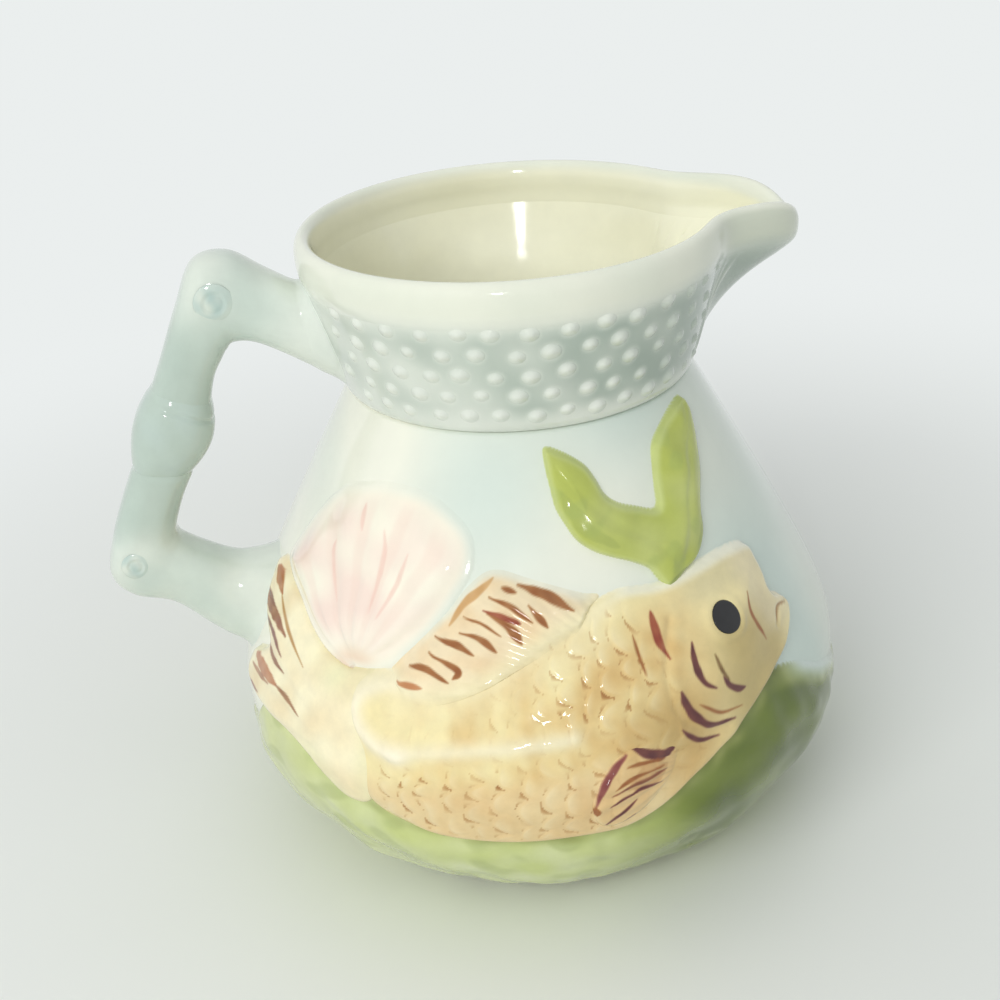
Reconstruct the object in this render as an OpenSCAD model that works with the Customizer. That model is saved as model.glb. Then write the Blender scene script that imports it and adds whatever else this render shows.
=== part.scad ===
// A glazed earthenware pitcher: a pear-shaped body on a foot ring, a flared
// collar with a pinched spout, a bamboo handle, and moulded relief of a fish,
// a shell and seaweed on both faces. The jug's axis is Z, the spout points
// along +X, the handle along -X, and the front face looks along -Y.

/* [Body] */
// Height of the neck, where the body ends and the collar begins
neck_h = 120; // [108:1:130]
// Height of the belly, the body's widest level
belly_h = 41; // [36:1:46]
// Outer radius of the wall at the foot
foot_r = 56.5; // [52:0.5:60]
// Outer radius of the wall at the belly
belly_r = 80.5; // [75:0.5:86]
// Outer radius of the wall at the neck
neck_r = 43; // [40:0.5:46]
// Thickness of the fired wall
wall = 3.2; // [2.4:0.1:4.4]
// Thickness of the floor
floor_t = 4.5; // [3.5:0.5:7]
// Height of the foot ring
foot_ring_h = 2.5; // [2:0.5:5]
// Width of the foot ring
foot_ring_w = 8; // [5:0.5:12]

/* [Collar and spout] */
// Height of the jug at its rim
jug_h = 158.3; // [150:0.5:170]
// Outer radius of the rim, away from the spout
rim_r = 52.2; // [49:0.5:58]
// How far the collar's lower edge stands out past the neck
collar_step = 0.9; // [0.3:0.1:1.5]
// How far the rolled rim stands out past the collar
roll_proud = 0.5; // [0.2:0.1:1]
// Height of the rolled rim
roll_h = 8.6; // [6:0.1:11]
// Thickness of the rolled rim
roll_t = 4.4; // [3.4:0.1:5.5]
// How far the spout reaches past the round rim
spout_out = 20.8; // [14:0.2:26]
// Half the spout's opening, in degrees round the jug
spout_half_deg = 16.6; // [13:0.2:20]
// How far the spout's lip dips below the rim
lip_dip = 6; // [2:0.5:9]

/* [Beads on the collar] */
// Width of one bead
bead_w = 4.2; // [3:0.1:4.6]
// Height of one bead
bead_h = 1.1; // [0.6:0.1:1.6]
// Distance from one row of beads to the next
bead_row_pitch = 5.4; // [5:0.1:5.8]
// Number of rows of beads
bead_rows = 5; // [2:1:5]
// Number of places for beads in a full row
bead_places = 38; // [24:1:40]

/* [Handle] */
// Furthest reach of the handle from the jug's axis
handle_reach = 110.4; // [104:0.2:118]
// Width of the handle, across the jug
handle_w = 16.4; // [12:0.2:20]
// How far the bamboo joint's band swells past the handle
band_swell = 1.9; // [1:0.1:3]
// Radius of the upper pair of branch scars
upper_scar_r = 4.5; // [3:0.1:5]
// Radius of the lower pair of branch scars
lower_scar_r = 3.4; // [2.4:0.1:4]
// Thickness of a branch scar
scar_t = 1.4; // [0.8:0.1:2]

/* [Relief] */
// Height of the fish's flank over the wall
fish_rise = 4.6; // [2.5:0.1:6]
// Height of the tail over the wall
tail_rise = 3; // [1.5:0.1:4]
// Height of the back fin over the wall
back_fin_rise = 2.4; // [1.2:0.1:4]
// Height of the side fin over the flank
side_fin_rise = 1.5; // [0.8:0.1:2.5]
// Height of the shell over the wall
shell_rise = 3.2; // [1.5:0.1:5]
// Height of the seaweed over the wall
seaweed_rise = 3.4; // [1.5:0.1:5]
// Height of the weed bed over the wall
bed_rise = 2; // [1:0.1:3]
// Thickness of a relief's edge
edge_t = 0.7; // [0.5:0.1:1]
// Radius of the eye
eye_r = 3.9; // [2.5:0.1:4.5]
// Height of the eye
eye_h = 1.3; // [0.8:0.1:2]

/* [Fit] */
// Film of slip left between two pieces that are luted together
film = 0.15; // [0.1:0.05:0.3]
// Gap along the edges of two reliefs that lie side by side
relief_gap = 0.6; // [0.4:0.1:1]

/* [Hidden] */

// Facets of the turned pieces, as drawn on screen
round_facets = 96;
wall_steps = 24;

// The wall's outline: below the belly it falls away as a power of the
// distance, and above it the shoulder turns softly into a straight slope.
foot_power = 2.1;
shoulder_round = 0.168;

// The spout: its share at the neck, its powers, how square its sides are,
// how narrow it is at the neck and how far round the lip's dip reaches
spout_low_share = 0.2;
spout_low_power = 0.5;
spout_top_power = 2.4;
spout_square_power = 4.1;
spout_neck_share = 0.6;
dip_half_deg = 9.7;
crowd_deg = 45;
rim_stations = 80;
collar_levels = 7;

// The rolled rim's section, from the inner foot of the roll round its outside
// to its inner face, as shares of its thickness and of its height
roll_section_shares = [
    [0, 0], [1, 0], [1.06, 0.22], [1.04, 0.5], [0.95, 0.76],
    [0.76, 0.94], [0.5, 1], [0.24, 0.94], [0.06, 0.76], [0, 0.5]
];

// A bead's rings below its top, as shares of its radius and of its height
bead_section_shares = [[1, 0], [0.7, 0.72]];
bead_sides = 8;
// How far the top row of beads lies below the rolled rim, in bead widths
bead_top_share = 0.75;
bead_spout_deg = 24;
bead_handle_deg = 15;

// The handle's sections: the outer and the inner point of each, as shares of
// the way from the jug's surface to the handle's reach and of the jug's
// height, and the width's share there. The first lies on the collar and the
// last on the body, with its outer point a little inside the wall.
handle_shares = [
    [-0.019, 0.925, 0, 0.765, 1.25], [0.047, 0.937, 0.102, 0.805, 1.1],
    [0.126, 0.96, 0.252, 0.848, 1.0], [0.252, 0.994, 0.341, 0.855, 1.02],
    [0.406, 0.985, 0.379, 0.845, 1.04], [0.525, 0.92, 0.404, 0.833, 1.0],
    [0.647, 0.836, 0.465, 0.798, 0.96], [0.756, 0.758, 0.515, 0.726, 0.94],
    [0.806, 0.682, 0.544, 0.665, 0.94], [0.872, 0.619, 0.592, 0.609, 0.96],
    [0.951, 0.55, 0.621, 0.556, 1.0], [1.0, 0.486, 0.601, 0.536, 1.04],
    [0.891, 0.445, 0.55, 0.524, 1.02], [0.629, 0.421, 0.438, 0.505, 1.0],
    [0.322, 0.366, 0.26, 0.483, 1.1], [-0.058, 0.313, 0.019, 0.472, 1.3]
];
handle_stations = 30;
handle_sides = 20;
handle_square_power = 2.6;
cap_shares = [0.04, 0.36, 0.68];
// Where the band sits along the handle's table, and its swelling there
band_from_share = 0.415;
band_to_share = 0.575;
band_swell_shares = [0.25, 0.8, 1, 0.95, 0.85, 0.6, 0.25];
// Where the scars sit: along the handle's table, and across from its outer
// edge (0) to its inner edge (1)
upper_scar_shares = [0.245, 0.42];
lower_scar_shares = [0.722, 0.4];
scar_section_shares = [
    [0, 0], [1, 0], [1.02, 0.5], [0.94, 0.9], [0.8, 1], [0.66, 0.8], [0, 0.65]
];
eye_section_shares = [[0, 0], [1, 0], [0.8, 0.6], [0.42, 0.92], [0, 1]];

// The relief's edges: degrees round the jug, and height as a share of the
// neck's height. The front face lies round -90 degrees.
fish_back_shares = [
    [-43.5, 0.567], [-46, 0.625], [-49.5, 0.688], [-58, 0.713], [-68, 0.717],
    [-78, 0.717], [-87, 0.704], [-95, 0.68], [-103, 0.65], [-111, 0.617],
    [-118, 0.58], [-125, 0.55], [-130, 0.508], [-131.5, 0.455]
];
fish_belly_shares = [
    [-44.5, 0.542], [-48, 0.517], [-54, 0.488], [-62, 0.446], [-70, 0.392],
    [-78, 0.333], [-86, 0.292], [-95, 0.275], [-103, 0.277], [-111, 0.29],
    [-118, 0.308], [-125, 0.333], [-129, 0.358], [-131.5, 0.392]
];
tail_top_shares = [
    [-133, 0.5], [-136.5, 0.5], [-140.5, 0.52], [-146, 0.563], [-152, 0.608],
    [-160, 0.642], [-168, 0.658]
];
tail_low_shares = [
    [-131.8, 0.35], [-135, 0.325], [-140, 0.333], [-146, 0.371],
    [-152, 0.408], [-159, 0.422], [-166, 0.458]
];
tail_notch_deg = 6;
back_fin_shares = [
    [-86.5, 0.722], [-93, 0.732], [-100, 0.75], [-108, 0.75], [-115, 0.717],
    [-121, 0.66], [-128, 0.602], [-132, 0.545]
];
// Where the back fin's root begins and ends along the fish's back
fin_root_from_share = 0.461;
fin_root_to_share = 0.93;
// The side fin's edges, along and across the fish's flank
side_fin_top_shares = [[0.36, 0.6], [0.42, 0.6], [0.48, 0.68], [0.51, 0.8]];
side_fin_low_shares = [[0.37, 0.74], [0.4, 0.82], [0.43, 0.88], [0.47, 0.92]];
eye_shares = [0.243, 0.31];
shell_rim_shares = [
    [-152, 0.65], [-159, 0.692], [-163, 0.75], [-158, 0.817], [-149, 0.867],
    [-138, 0.896], [-127, 0.892], [-118, 0.863], [-112, 0.813],
    [-114.5, 0.765], [-121, 0.7]
];
shell_hinge_shares = [
    [-139.5, 0.575], [-139, 0.58], [-138.5, 0.583], [-138, 0.586],
    [-137.5, 0.588], [-137, 0.588], [-136.3, 0.588], [-135.6, 0.588],
    [-135, 0.586], [-134.4, 0.583], [-134, 0.579]
];
shell_ribs = 9;
shell_rib_share = 0.16;
seaweed_low_shares = [
    [-93.5, 0.983], [-94, 0.933], [-91, 0.867], [-87, 0.808], [-80, 0.775],
    [-74, 0.752], [-70, 0.728], [-64, 0.733], [-58, 0.758], [-54, 0.817],
    [-50, 0.875], [-48, 0.925], [-51, 0.978]
];
seaweed_top_shares = [
    [-92.5, 0.984], [-87, 0.958], [-82, 0.925], [-78, 0.883], [-73, 0.861],
    [-69, 0.846], [-66.5, 0.842], [-66.2, 0.858], [-66, 0.883], [-65, 0.917],
    [-62, 0.946], [-57, 0.97], [-51.8, 0.982]
];
bed_front_shares = [
    [-3, 0.3], [-12, 0.35], [-22, 0.375], [-34, 0.388], [-43, 0.44],
    [-52, 0.47]
];
bed_rear_shares = [[-168, 0.42], [-177, 0.37]];
bed_low_share = 0.03;

// How quickly a relief rises from its edges, along and across
along_power = 0.35;
across_power = 0.6;

// A small length over which slopes are taken
slope_step = neck_h * 0.002;

// A smooth curve through a table's rows, at a share u of its length
function along(table, u) =
    let (n = len(table) - 1, g = min(max(u, 0) * n, n * 0.99999))
    let (i = floor(g), t = g - i)
    let (a = table[max(i - 1, 0)], b = table[i])
    let (c = table[i + 1], d = table[min(i + 2, n)])
    0.5 * (2 * b + (c - a) * t + (2 * a - 5 * b + 4 * c - d) * t * t
        + (3 * b - a - 3 * c + d) * t * t * t);

function mix(a, b, t) = a + (b - a) * t;

function shoulder_drop(s) =
    (sqrt(shoulder_round * shoulder_round + s * s) - shoulder_round)
    / (sqrt(shoulder_round * shoulder_round + 1) - shoulder_round);

// Outer radius of the body's wall at height z
function wall_r(z) = z < belly_h
    ? belly_r - (belly_r - foot_r) * pow((belly_h - z) / belly_h, foot_power)
    : belly_r - (belly_r - neck_r)
        * shoulder_drop((z - belly_h) / (neck_h - belly_h));

function wall_slope(z) =
    (wall_r(z + slope_step) - wall_r(max(z - slope_step, 0)))
    / (z + slope_step - max(z - slope_step, 0));

// A point at h over the wall, square to it
function on_wall(deg, z, h) =
    let (s = wall_slope(z), k = sqrt(1 + s * s), r = wall_r(z) + h / k)
    [r * cos(deg), r * sin(deg), z - h * s / k];

// Outer radius of the round collar at height z
function collar_r(z) = mix(neck_r + collar_step, rim_r - roll_proud,
    (z - neck_h) / (jug_h - roll_h - neck_h));

function jug_r(z) = z < neck_h ? wall_r(z) : collar_r(z);

function spout_share(deg, t) =
    exp(-pow(abs(deg) / (spout_half_deg * mix(spout_neck_share, 1, t)),
        spout_square_power));

function spout_grow(t) = spout_low_share * pow(t, spout_low_power)
    + (1 - spout_low_share) * pow(t, spout_top_power);

// Top of the collar at an angle, under the rolled rim
function collar_top(deg) =
    jug_h - roll_h - lip_dip * exp(-pow(deg / dip_half_deg, 2));

// A point of the collar's outside, at a share t of its height
function collar_point(deg, t) =
    let (top = collar_top(deg), z = mix(neck_h + film, top, t))
    let (r = mix(neck_r + collar_step, rim_r - roll_proud, t)
        + spout_out * spout_grow(t) * spout_share(deg, t))
    [r * cos(deg), r * sin(deg), z];

// Stations round the rim, crowded at the spout
function station_deg(i) =
    let (s = 360 * i / rim_stations - 180) s - crowd_deg * sin(s);

// The outward direction, in plan, of the collar at a station
function collar_out(i, t) =
    let (a = collar_point(station_deg(i - 1), t))
    let (b = collar_point(station_deg(i + 1), t))
    let (d = [b[1] - a[1], a[0] - b[0]])
    [d[0], d[1], 0] / norm(d);

// Faces of a closed band of loops, each with n points, joined in a ring
function ring_faces(loops, n) = [
    for (i = [0 : loops - 1], j = [0 : n - 1], k = [0, 1])
        let (a = i * n + j, b = i * n + (j + 1) % n)
        let (c = ((i + 1) % loops) * n + j)
        let (d = ((i + 1) % loops) * n + (j + 1) % n)
        k == 0 ? [a, b, d] : [a, d, c]
];

// Faces of a tube of loops, each with n points, shut at both ends
function tube_faces(loops, n) = concat(
    [
        for (i = [0 : loops - 2], j = [0 : n - 1], k = [0, 1])
            let (a = i * n + j, b = i * n + (j + 1) % n)
            k == 0 ? [a, b, b + n] : [a, b + n, a + n]
    ],
    [[for (j = [n - 1 : -1 : 0]) j]],
    [[for (j = [0 : n - 1]) (loops - 1) * n + j]]
);

// Faces of a curved slab: a grid of top points, then the same grid beneath
function slab_faces(n, m) =
    let (w = m + 1, under = (n + 1) * (m + 1))
    concat(
        [
            for (i = [0 : n - 1], j = [0 : m - 1], k = [0, 1])
                let (a = i * w + j)
                k == 0 ? [a, a + w + 1, a + 1] : [a, a + w, a + w + 1]
        ],
        [
            for (i = [0 : n - 1], j = [0 : m - 1], k = [0, 1])
                let (a = under + i * w + j)
                k == 0 ? [a, a + 1, a + w + 1] : [a, a + w + 1, a + w]
        ],
        [
            for (i = [0 : n - 1], k = [0, 1])
                let (a = i * w, b = a + w)
                k == 0 ? [a, under + a, b] : [b, under + a, under + b]
        ],
        [
            for (i = [0 : n - 1], k = [0, 1])
                let (a = i * w + m, b = a + w)
                k == 0 ? [a, b, under + a] : [b, under + b, under + a]
        ],
        [
            for (j = [0 : m - 1], k = [0, 1])
                let (a = j, b = j + 1)
                k == 0 ? [a, b, under + a] : [b, under + b, under + a]
        ],
        [
            for (j = [0 : m - 1], k = [0, 1])
                let (a = n * w + j, b = a + 1)
                k == 0 ? [a, under + a, b] : [b, under + a, under + b]
        ]
    );

// How high a relief stands at the shares u and v, from 0 to 1
function crown(u, v) = pow(max(sin(180 * u), 0), along_power)
    * pow(max(sin(180 * v), 0), across_power);

// Degrees and height of a relief's point, between its two edges
function between(upper, lower, u, v, notch) =
    let (p = mix(along(upper, u), along(lower, u), v))
    [p[0] + notch * sin(180 * v) * pow(u, 4), p[1] * neck_h];

// A sprig of clay on the wall, between an upper and a lower edge
module wall_sprig(upper, lower, rise, n, m, notch = 0, ribs = 0, lift = film) {
    grid = [
        for (i = [0 : n], j = [0 : m])
            let (u = i / n, v = j / m)
            concat(between(upper, lower, u, v, notch),
                crown(u, v) * (1 - shell_rib_share * (ribs > 0 ? 1 : 0)
                    * pow(sin(180 * ribs * u), 2)))
    ];
    top = [for (p = grid) on_wall(p[0], p[1], lift + mix(edge_t, rise, p[2]))];
    beneath = [for (p = grid) on_wall(p[0], p[1], lift)];
    polyhedron(concat(top, beneath), slab_faces(n, m));
}

// A point of the fish's flank, h over its surface
function on_fish(u, v, h) =
    let (p = between(fish_back_shares, fish_belly_shares, u, v, 0))
    on_wall(p[0], p[1], film + mix(edge_t, fish_rise, crown(u, v)) + h);

module foot_ring() {
    color("ivory")
    rotate_extrude($fn = round_facets)
    polygon([
        [foot_r - foot_ring_w, 0], [foot_r - edge_t, 0],
        [foot_r, edge_t], [foot_r, foot_ring_h], [foot_r - foot_ring_w, foot_ring_h]
    ]);
}

module body_wall() {
    base = foot_ring_h + film;
    outside = [
        for (i = [0 : wall_steps])
            let (z = mix(base, neck_h, i / wall_steps)) [wall_r(z), z]
    ];
    inside = [
        for (i = [wall_steps : -1 : 0])
            let (z = mix(base + floor_t, neck_h, i / wall_steps))
            let (s = wall_slope(z)) [wall_r(z) - wall * sqrt(1 + s * s), z]
    ];
    color("lightcyan")
    rotate_extrude($fn = round_facets)
    polygon(concat([[0, base]], outside, inside, [[0, base + floor_t]]));
}

module collar() {
    outer = [
        for (i = [0 : rim_stations - 1]) [
            for (k = [0 : collar_levels]) collar_point(station_deg(i), k / collar_levels)
        ]
    ];
    inner = [
        for (i = [0 : rim_stations - 1]) [
            for (k = [collar_levels : -1 : 0])
                let (t = k / collar_levels)
                outer[i][k] - collar_out(i, t) * mix(wall + collar_step, roll_t - roll_proud, t)
        ]
    ];
    loops = [for (i = [0 : rim_stations - 1]) each concat(outer[i], inner[i])];
    color("azure")
    polyhedron(loops, ring_faces(rim_stations, 2 * collar_levels + 2));
}

module rim_roll() {
    loops = [
        for (i = [0 : rim_stations - 1])
            let (foot = collar_point(station_deg(i), 1), out = collar_out(i, 1))
            for (p = roll_section_shares)
                foot + out * (roll_proud - roll_t * (1 - p[0])) + [0, 0, film + roll_h * p[1]]
    ];
    color("ivory")
    polyhedron(loops, ring_faces(rim_stations, len(roll_section_shares)));
}

// Places of the beads, as degrees round the collar and height. They leave the
// spout and the handle's root free.
bead_spots = [
    for (row = [0 : bead_rows - 1], place = [0 : bead_places - 1])
        let (deg = (place + (row % 2) / 2) * 360 / bead_places - 180)
        let (z = jug_h - roll_h - bead_w * bead_top_share - row * bead_row_pitch)
        if (abs(deg) > bead_spout_deg && abs(deg) < 180 - bead_handle_deg && z > neck_h + bead_w / 2)
            [deg, z]
];

// A point of a bead: at a share of its radius, an angle round it and a share
// of its height, over the collar at its spot
function bead_point(spot, radius_share, turn, height_share) =
    let (lean = atan((rim_r - roll_proud - neck_r - collar_step) / (jug_h - roll_h - neck_h)))
    let (out = [cos(spot[0]) * cos(lean), sin(spot[0]) * cos(lean), -sin(lean)])
    let (side = [-sin(spot[0]), cos(spot[0]), 0], up = cross(out, side))
    let (r = collar_r(spot[1]), reach = bead_w / 2 * radius_share)
    [r * cos(spot[0]), r * sin(spot[0]), spot[1]] + out * (film + bead_h * height_share)
        + side * reach * cos(turn) + up * reach * sin(turn);

module collar_beads() {
    rings = len(bead_section_shares);
    size = rings * bead_sides + 1;
    points = [
        for (spot = bead_spots) each concat(
            [
                for (s = bead_section_shares, k = [0 : bead_sides - 1])
                    bead_point(spot, s[0], 360 * k / bead_sides, s[1])
            ],
            [bead_point(spot, 0, 0, 1)]
        )
    ];
    faces = [
        for (i = [0 : len(bead_spots) - 1]) each concat(
            [[for (k = [0 : bead_sides - 1]) i * size + k]],
            [
                for (k = [0 : bead_sides - 1], j = [0, 1])
                    let (a = i * size + k, b = i * size + (k + 1) % bead_sides)
                    j == 0 ? [a, b + bead_sides, b] : [a, a + bead_sides, b + bead_sides]
            ],
            [
                for (k = [0 : bead_sides - 1])
                    let (a = i * size + bead_sides + k)
                    [a, i * size + size - 1, i * size + bead_sides + (k + 1) % bead_sides]
            ]
        )
    ];
    color("azure")
    polyhedron(points, faces);
}

// How far out a point of the handle lies at a height of the jug
function handle_x(share, z) = mix(jug_r(z), handle_reach, share);

// One loop of the handle at a share u of its table, grown by a margin. Points
// that would lie in the jug's wall move out until they rest on it.
function handle_loop(u, grow, shrink) =
    let (row = along(handle_shares, u))
    let (top = row[1] * jug_h, low = row[3] * jug_h)
    let (a = [-handle_x(row[0], top), top], b = [-handle_x(row[2], low), low])
    let (mid = (a + b) / 2, half = (a - b) / 2, dir = half / norm(half))
    let (reach = (norm(half) + grow) * shrink, wide = (row[4] * handle_w / 2 + grow) * shrink)
    [
        for (k = [0 : handle_sides - 1])
            let (c = cos(360 * k / handle_sides), s = sin(360 * k / handle_sides))
            let (p = mid + dir * reach * sign(c) * pow(abs(c), 2 / handle_square_power))
            let (y = wide * sign(s) * pow(abs(s), 2 / handle_square_power))
            let (r = jug_r(p[1]) + film)
            [-max(-p[0], sqrt(r * r - y * y)), y, p[1]]
    ];

module handle() {
    loops = concat(
        [for (s = cap_shares) handle_loop(0, 0, s)],
        [for (i = [0 : handle_stations]) handle_loop(i / handle_stations, 0, 1)],
        [for (i = [len(cap_shares) - 1 : -1 : 0]) handle_loop(1, 0, cap_shares[i])]
    );
    color("powderblue")
    polyhedron([for (l = loops) each l], tube_faces(len(loops), handle_sides));
}

module handle_joint_band() {
    n = len(band_swell_shares) - 1;
    function at(i) = mix(band_from_share, band_to_share, i / n);
    loops = concat(
        [for (i = [0 : n]) handle_loop(at(i), film + band_swell * band_swell_shares[i], 1)],
        [for (i = [n : -1 : 0]) handle_loop(at(i), film, 1)]
    );
    color("powderblue")
    polyhedron([for (l = loops) each l], ring_faces(len(loops), handle_sides));
}

// A round scar on the handle's side, where a branch of bamboo was cut
module branch_scar(place, radius, side) {
    row = along(handle_shares, place[0]);
    z = mix(row[1], row[3], place[1]) * jug_h;
    x = -handle_x(mix(row[0], row[2], place[1]), z);
    translate([x, side * (row[4] * handle_w / 2 + film), z])
    rotate([-90 * side, 0, 0])
    rotate_extrude($fn = round_facets / 2)
    polygon([for (p = scar_section_shares) [p[0] * radius, p[1] * scar_t]]);
}

module handle_branch_scars() {
    color("powderblue")
    for (side = [-1, 1]) {
        branch_scar(upper_scar_shares, upper_scar_r, side);
        branch_scar(lower_scar_shares, lower_scar_r, side);
    }
}

module weed_bed() {
    gap = relief_gap / neck_h;
    under_fish = [for (i = [3 : len(fish_belly_shares) - 2]) fish_belly_shares[i] - [0, gap]];
    under_tail = [for (i = [1 : len(tail_low_shares) - 2]) tail_low_shares[i] - [0, gap]];
    upper = concat(bed_front_shares, under_fish, under_tail, bed_rear_shares);
    lower = [for (p = upper) [p[0], bed_low_share]];
    color("yellowgreen")
    wall_sprig(upper, lower, bed_rise, 46, 7, lift = 2 * film);
}

module fish_body() {
    color("burlywood")
    wall_sprig(fish_back_shares, fish_belly_shares, fish_rise, 26, 10);
}

module fish_tail() {
    color("wheat")
    wall_sprig(tail_top_shares, tail_low_shares, tail_rise, 12, 6, tail_notch_deg);
}

module back_fin() {
    n = len(back_fin_shares) - 1;
    root = [
        for (i = [0 : n])
            along(fish_back_shares, mix(fin_root_from_share, fin_root_to_share, i / n))
                + [0, relief_gap / neck_h]
    ];
    color("tan")
    wall_sprig(back_fin_shares, root, back_fin_rise, 16, 4);
}

module side_fin() {
    n = 8;
    m = 4;
    grid = [
        for (i = [0 : n], j = [0 : m])
            let (u = i / n, v = j / m)
            concat(mix(along(side_fin_top_shares, u), along(side_fin_low_shares, u), v),
                mix(edge_t, side_fin_rise, crown(u, v)))
    ];
    top = [for (p = grid) on_fish(p[0], p[1], 2 * film + p[2])];
    beneath = [for (p = grid) on_fish(p[0], p[1], 2 * film)];
    color("peru")
    polyhedron(concat(top, beneath), slab_faces(n, m));
}

module fish_eye() {
    seat = on_fish(eye_shares[0], eye_shares[1], film);
    deg = atan2(seat[1], seat[0]);
    tilt = atan(-wall_slope(seat[2]));
    color("black")
    translate(seat)
    rotate([0, 0, deg])
    rotate([0, 90 - tilt, 0])
    rotate_extrude($fn = round_facets / 2)
    polygon([for (p = eye_section_shares) [p[0] * eye_r, p[1] * eye_h]]);
}

module shell() {
    color("mistyrose")
    wall_sprig(shell_rim_shares, shell_hinge_shares, shell_rise, 36, 6, 0, shell_ribs);
}

module seaweed() {
    color("olivedrab")
    wall_sprig(seaweed_top_shares, seaweed_low_shares, seaweed_rise, 28, 5);
}

module rear() {
    mirror([0, 1, 0])
    children();
}

foot_ring();
body_wall();
collar();
rim_roll();
collar_beads();
handle();
handle_joint_band();
handle_branch_scars();
weed_bed();  // front_weed_bed
fish_body();  // front_fish_body
fish_tail();  // front_fish_tail
back_fin();  // front_back_fin
side_fin();  // front_side_fin
fish_eye();  // front_fish_eye
shell();  // front_shell
seaweed();  // front_seaweed
rear() weed_bed();  // rear_weed_bed
rear() fish_body();  // rear_fish_body
rear() fish_tail();  // rear_fish_tail
rear() back_fin();  // rear_back_fin
rear() side_fin();  // rear_side_fin
rear() fish_eye();  // rear_fish_eye
rear() shell();  // rear_shell
rear() seaweed();  // rear_seaweed
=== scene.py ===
import bmesh
import bpy
import numpy as np
from mathutils import Matrix, Vector


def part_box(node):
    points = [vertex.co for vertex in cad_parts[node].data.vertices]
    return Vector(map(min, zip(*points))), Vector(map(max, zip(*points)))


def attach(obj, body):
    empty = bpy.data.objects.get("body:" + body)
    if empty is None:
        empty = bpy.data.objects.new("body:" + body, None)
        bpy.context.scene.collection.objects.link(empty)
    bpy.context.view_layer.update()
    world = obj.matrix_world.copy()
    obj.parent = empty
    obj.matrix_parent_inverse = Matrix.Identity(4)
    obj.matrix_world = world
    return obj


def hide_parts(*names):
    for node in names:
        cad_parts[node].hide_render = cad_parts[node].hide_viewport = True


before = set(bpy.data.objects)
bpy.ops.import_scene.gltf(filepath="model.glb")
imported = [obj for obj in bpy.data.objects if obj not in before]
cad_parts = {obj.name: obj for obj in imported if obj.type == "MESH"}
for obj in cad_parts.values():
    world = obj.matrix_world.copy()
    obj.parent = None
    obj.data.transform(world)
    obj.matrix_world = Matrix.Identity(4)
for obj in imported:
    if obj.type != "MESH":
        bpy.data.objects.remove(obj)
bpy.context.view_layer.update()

# The studio: a pale table and a white surround, lit as in a bright room, by a
# window to the front left and a wide soft ceiling. The camera looks down on
# the jug from the front and is tilted a few degrees.
scene = bpy.context.scene
scene.view_settings.view_transform = "Standard"
camera_place = Vector((-0.0499, -0.3282, 0.2543))
camera_right = Vector((0.9838, -0.1645, -0.0708))
camera_up = Vector((0.1385, 0.4481, 0.8832))
camera_back = camera_right.cross(camera_up).normalized()
camera_up = camera_back.cross(camera_right).normalized()
lens = bpy.data.cameras.new("camera")
lens.sensor_width = 36
lens.lens = 50.4
camera = bpy.data.objects.new("camera", lens)
camera.matrix_world = Matrix.Translation(camera_place) @ Matrix(
    (camera_right, camera_up, camera_back)).transposed().to_4x4()
scene.collection.objects.link(camera)
scene.camera = camera


def softbox(name, place, width, height, power, mirrored=True):
    """A rectangular lamp that faces the jug, and shows in its glaze if it is mirrored"""
    lamp = bpy.data.lights.new(name, "AREA")
    lamp.shape = "RECTANGLE"
    lamp.size = width
    lamp.size_y = height
    lamp.energy = power
    holder = bpy.data.objects.new(name, lamp)
    holder.visible_glossy = mirrored
    towards = Vector((0, 0, 0.08)) - Vector(place)
    facing = towards.to_track_quat("-Z", "Y").to_matrix().to_4x4()
    holder.matrix_world = Matrix.Translation(place) @ facing
    scene.collection.objects.link(holder)


softbox("daylight", (-0.9, -1.0, 0.9), 0.9, 0.7, 10.4, mirrored=False)
softbox("window", (-0.345, -1.17, 0.53), 0.11, 0.13, 1.3)
softbox("ceiling", (0.0, 0.1, 1.6), 2.4, 2.4, 9.0, mirrored=False)


def plainly_seen(tree):
    """1 for the rays that show a surface, and 0 for those that gather its light"""
    path = tree.nodes.new("ShaderNodeLightPath")
    found = path.outputs["Is Camera Ray"]
    for ray in ("Is Glossy Ray", "Is Transmission Ray"):
        either = tree.nodes.new("ShaderNodeMath")
        either.operation = "MAXIMUM"
        tree.links.new(found, either.inputs[0])
        tree.links.new(path.outputs[ray], either.inputs[1])
        found = either.outputs[0]
    return found


surround = (0.83, 0.86, 0.855, 1)
world = bpy.data.worlds.new("room")
scene.world = world
world.use_nodes = True
air = world.node_tree
air.nodes.clear()
lit = air.nodes.new("ShaderNodeBackground")
lit.inputs["Color"].default_value = (0.95, 0.98, 1, 1)
lit.inputs["Strength"].default_value = 0.42
white = air.nodes.new("ShaderNodeBackground")
white.inputs["Color"].default_value = surround
choose = air.nodes.new("ShaderNodeMixShader")
sky = air.nodes.new("ShaderNodeOutputWorld")
air.links.new(plainly_seen(air), choose.inputs["Fac"])
air.links.new(lit.outputs[0], choose.inputs[1])
air.links.new(white.outputs[0], choose.inputs[2])
air.links.new(choose.outputs[0], sky.inputs["Surface"])


def as_mesh(shape, name):
    """Turns a finished bmesh into a mesh of this name"""
    mesh = bpy.data.meshes.new(name)
    shape.to_mesh(mesh)
    shape.free()
    return mesh


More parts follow.
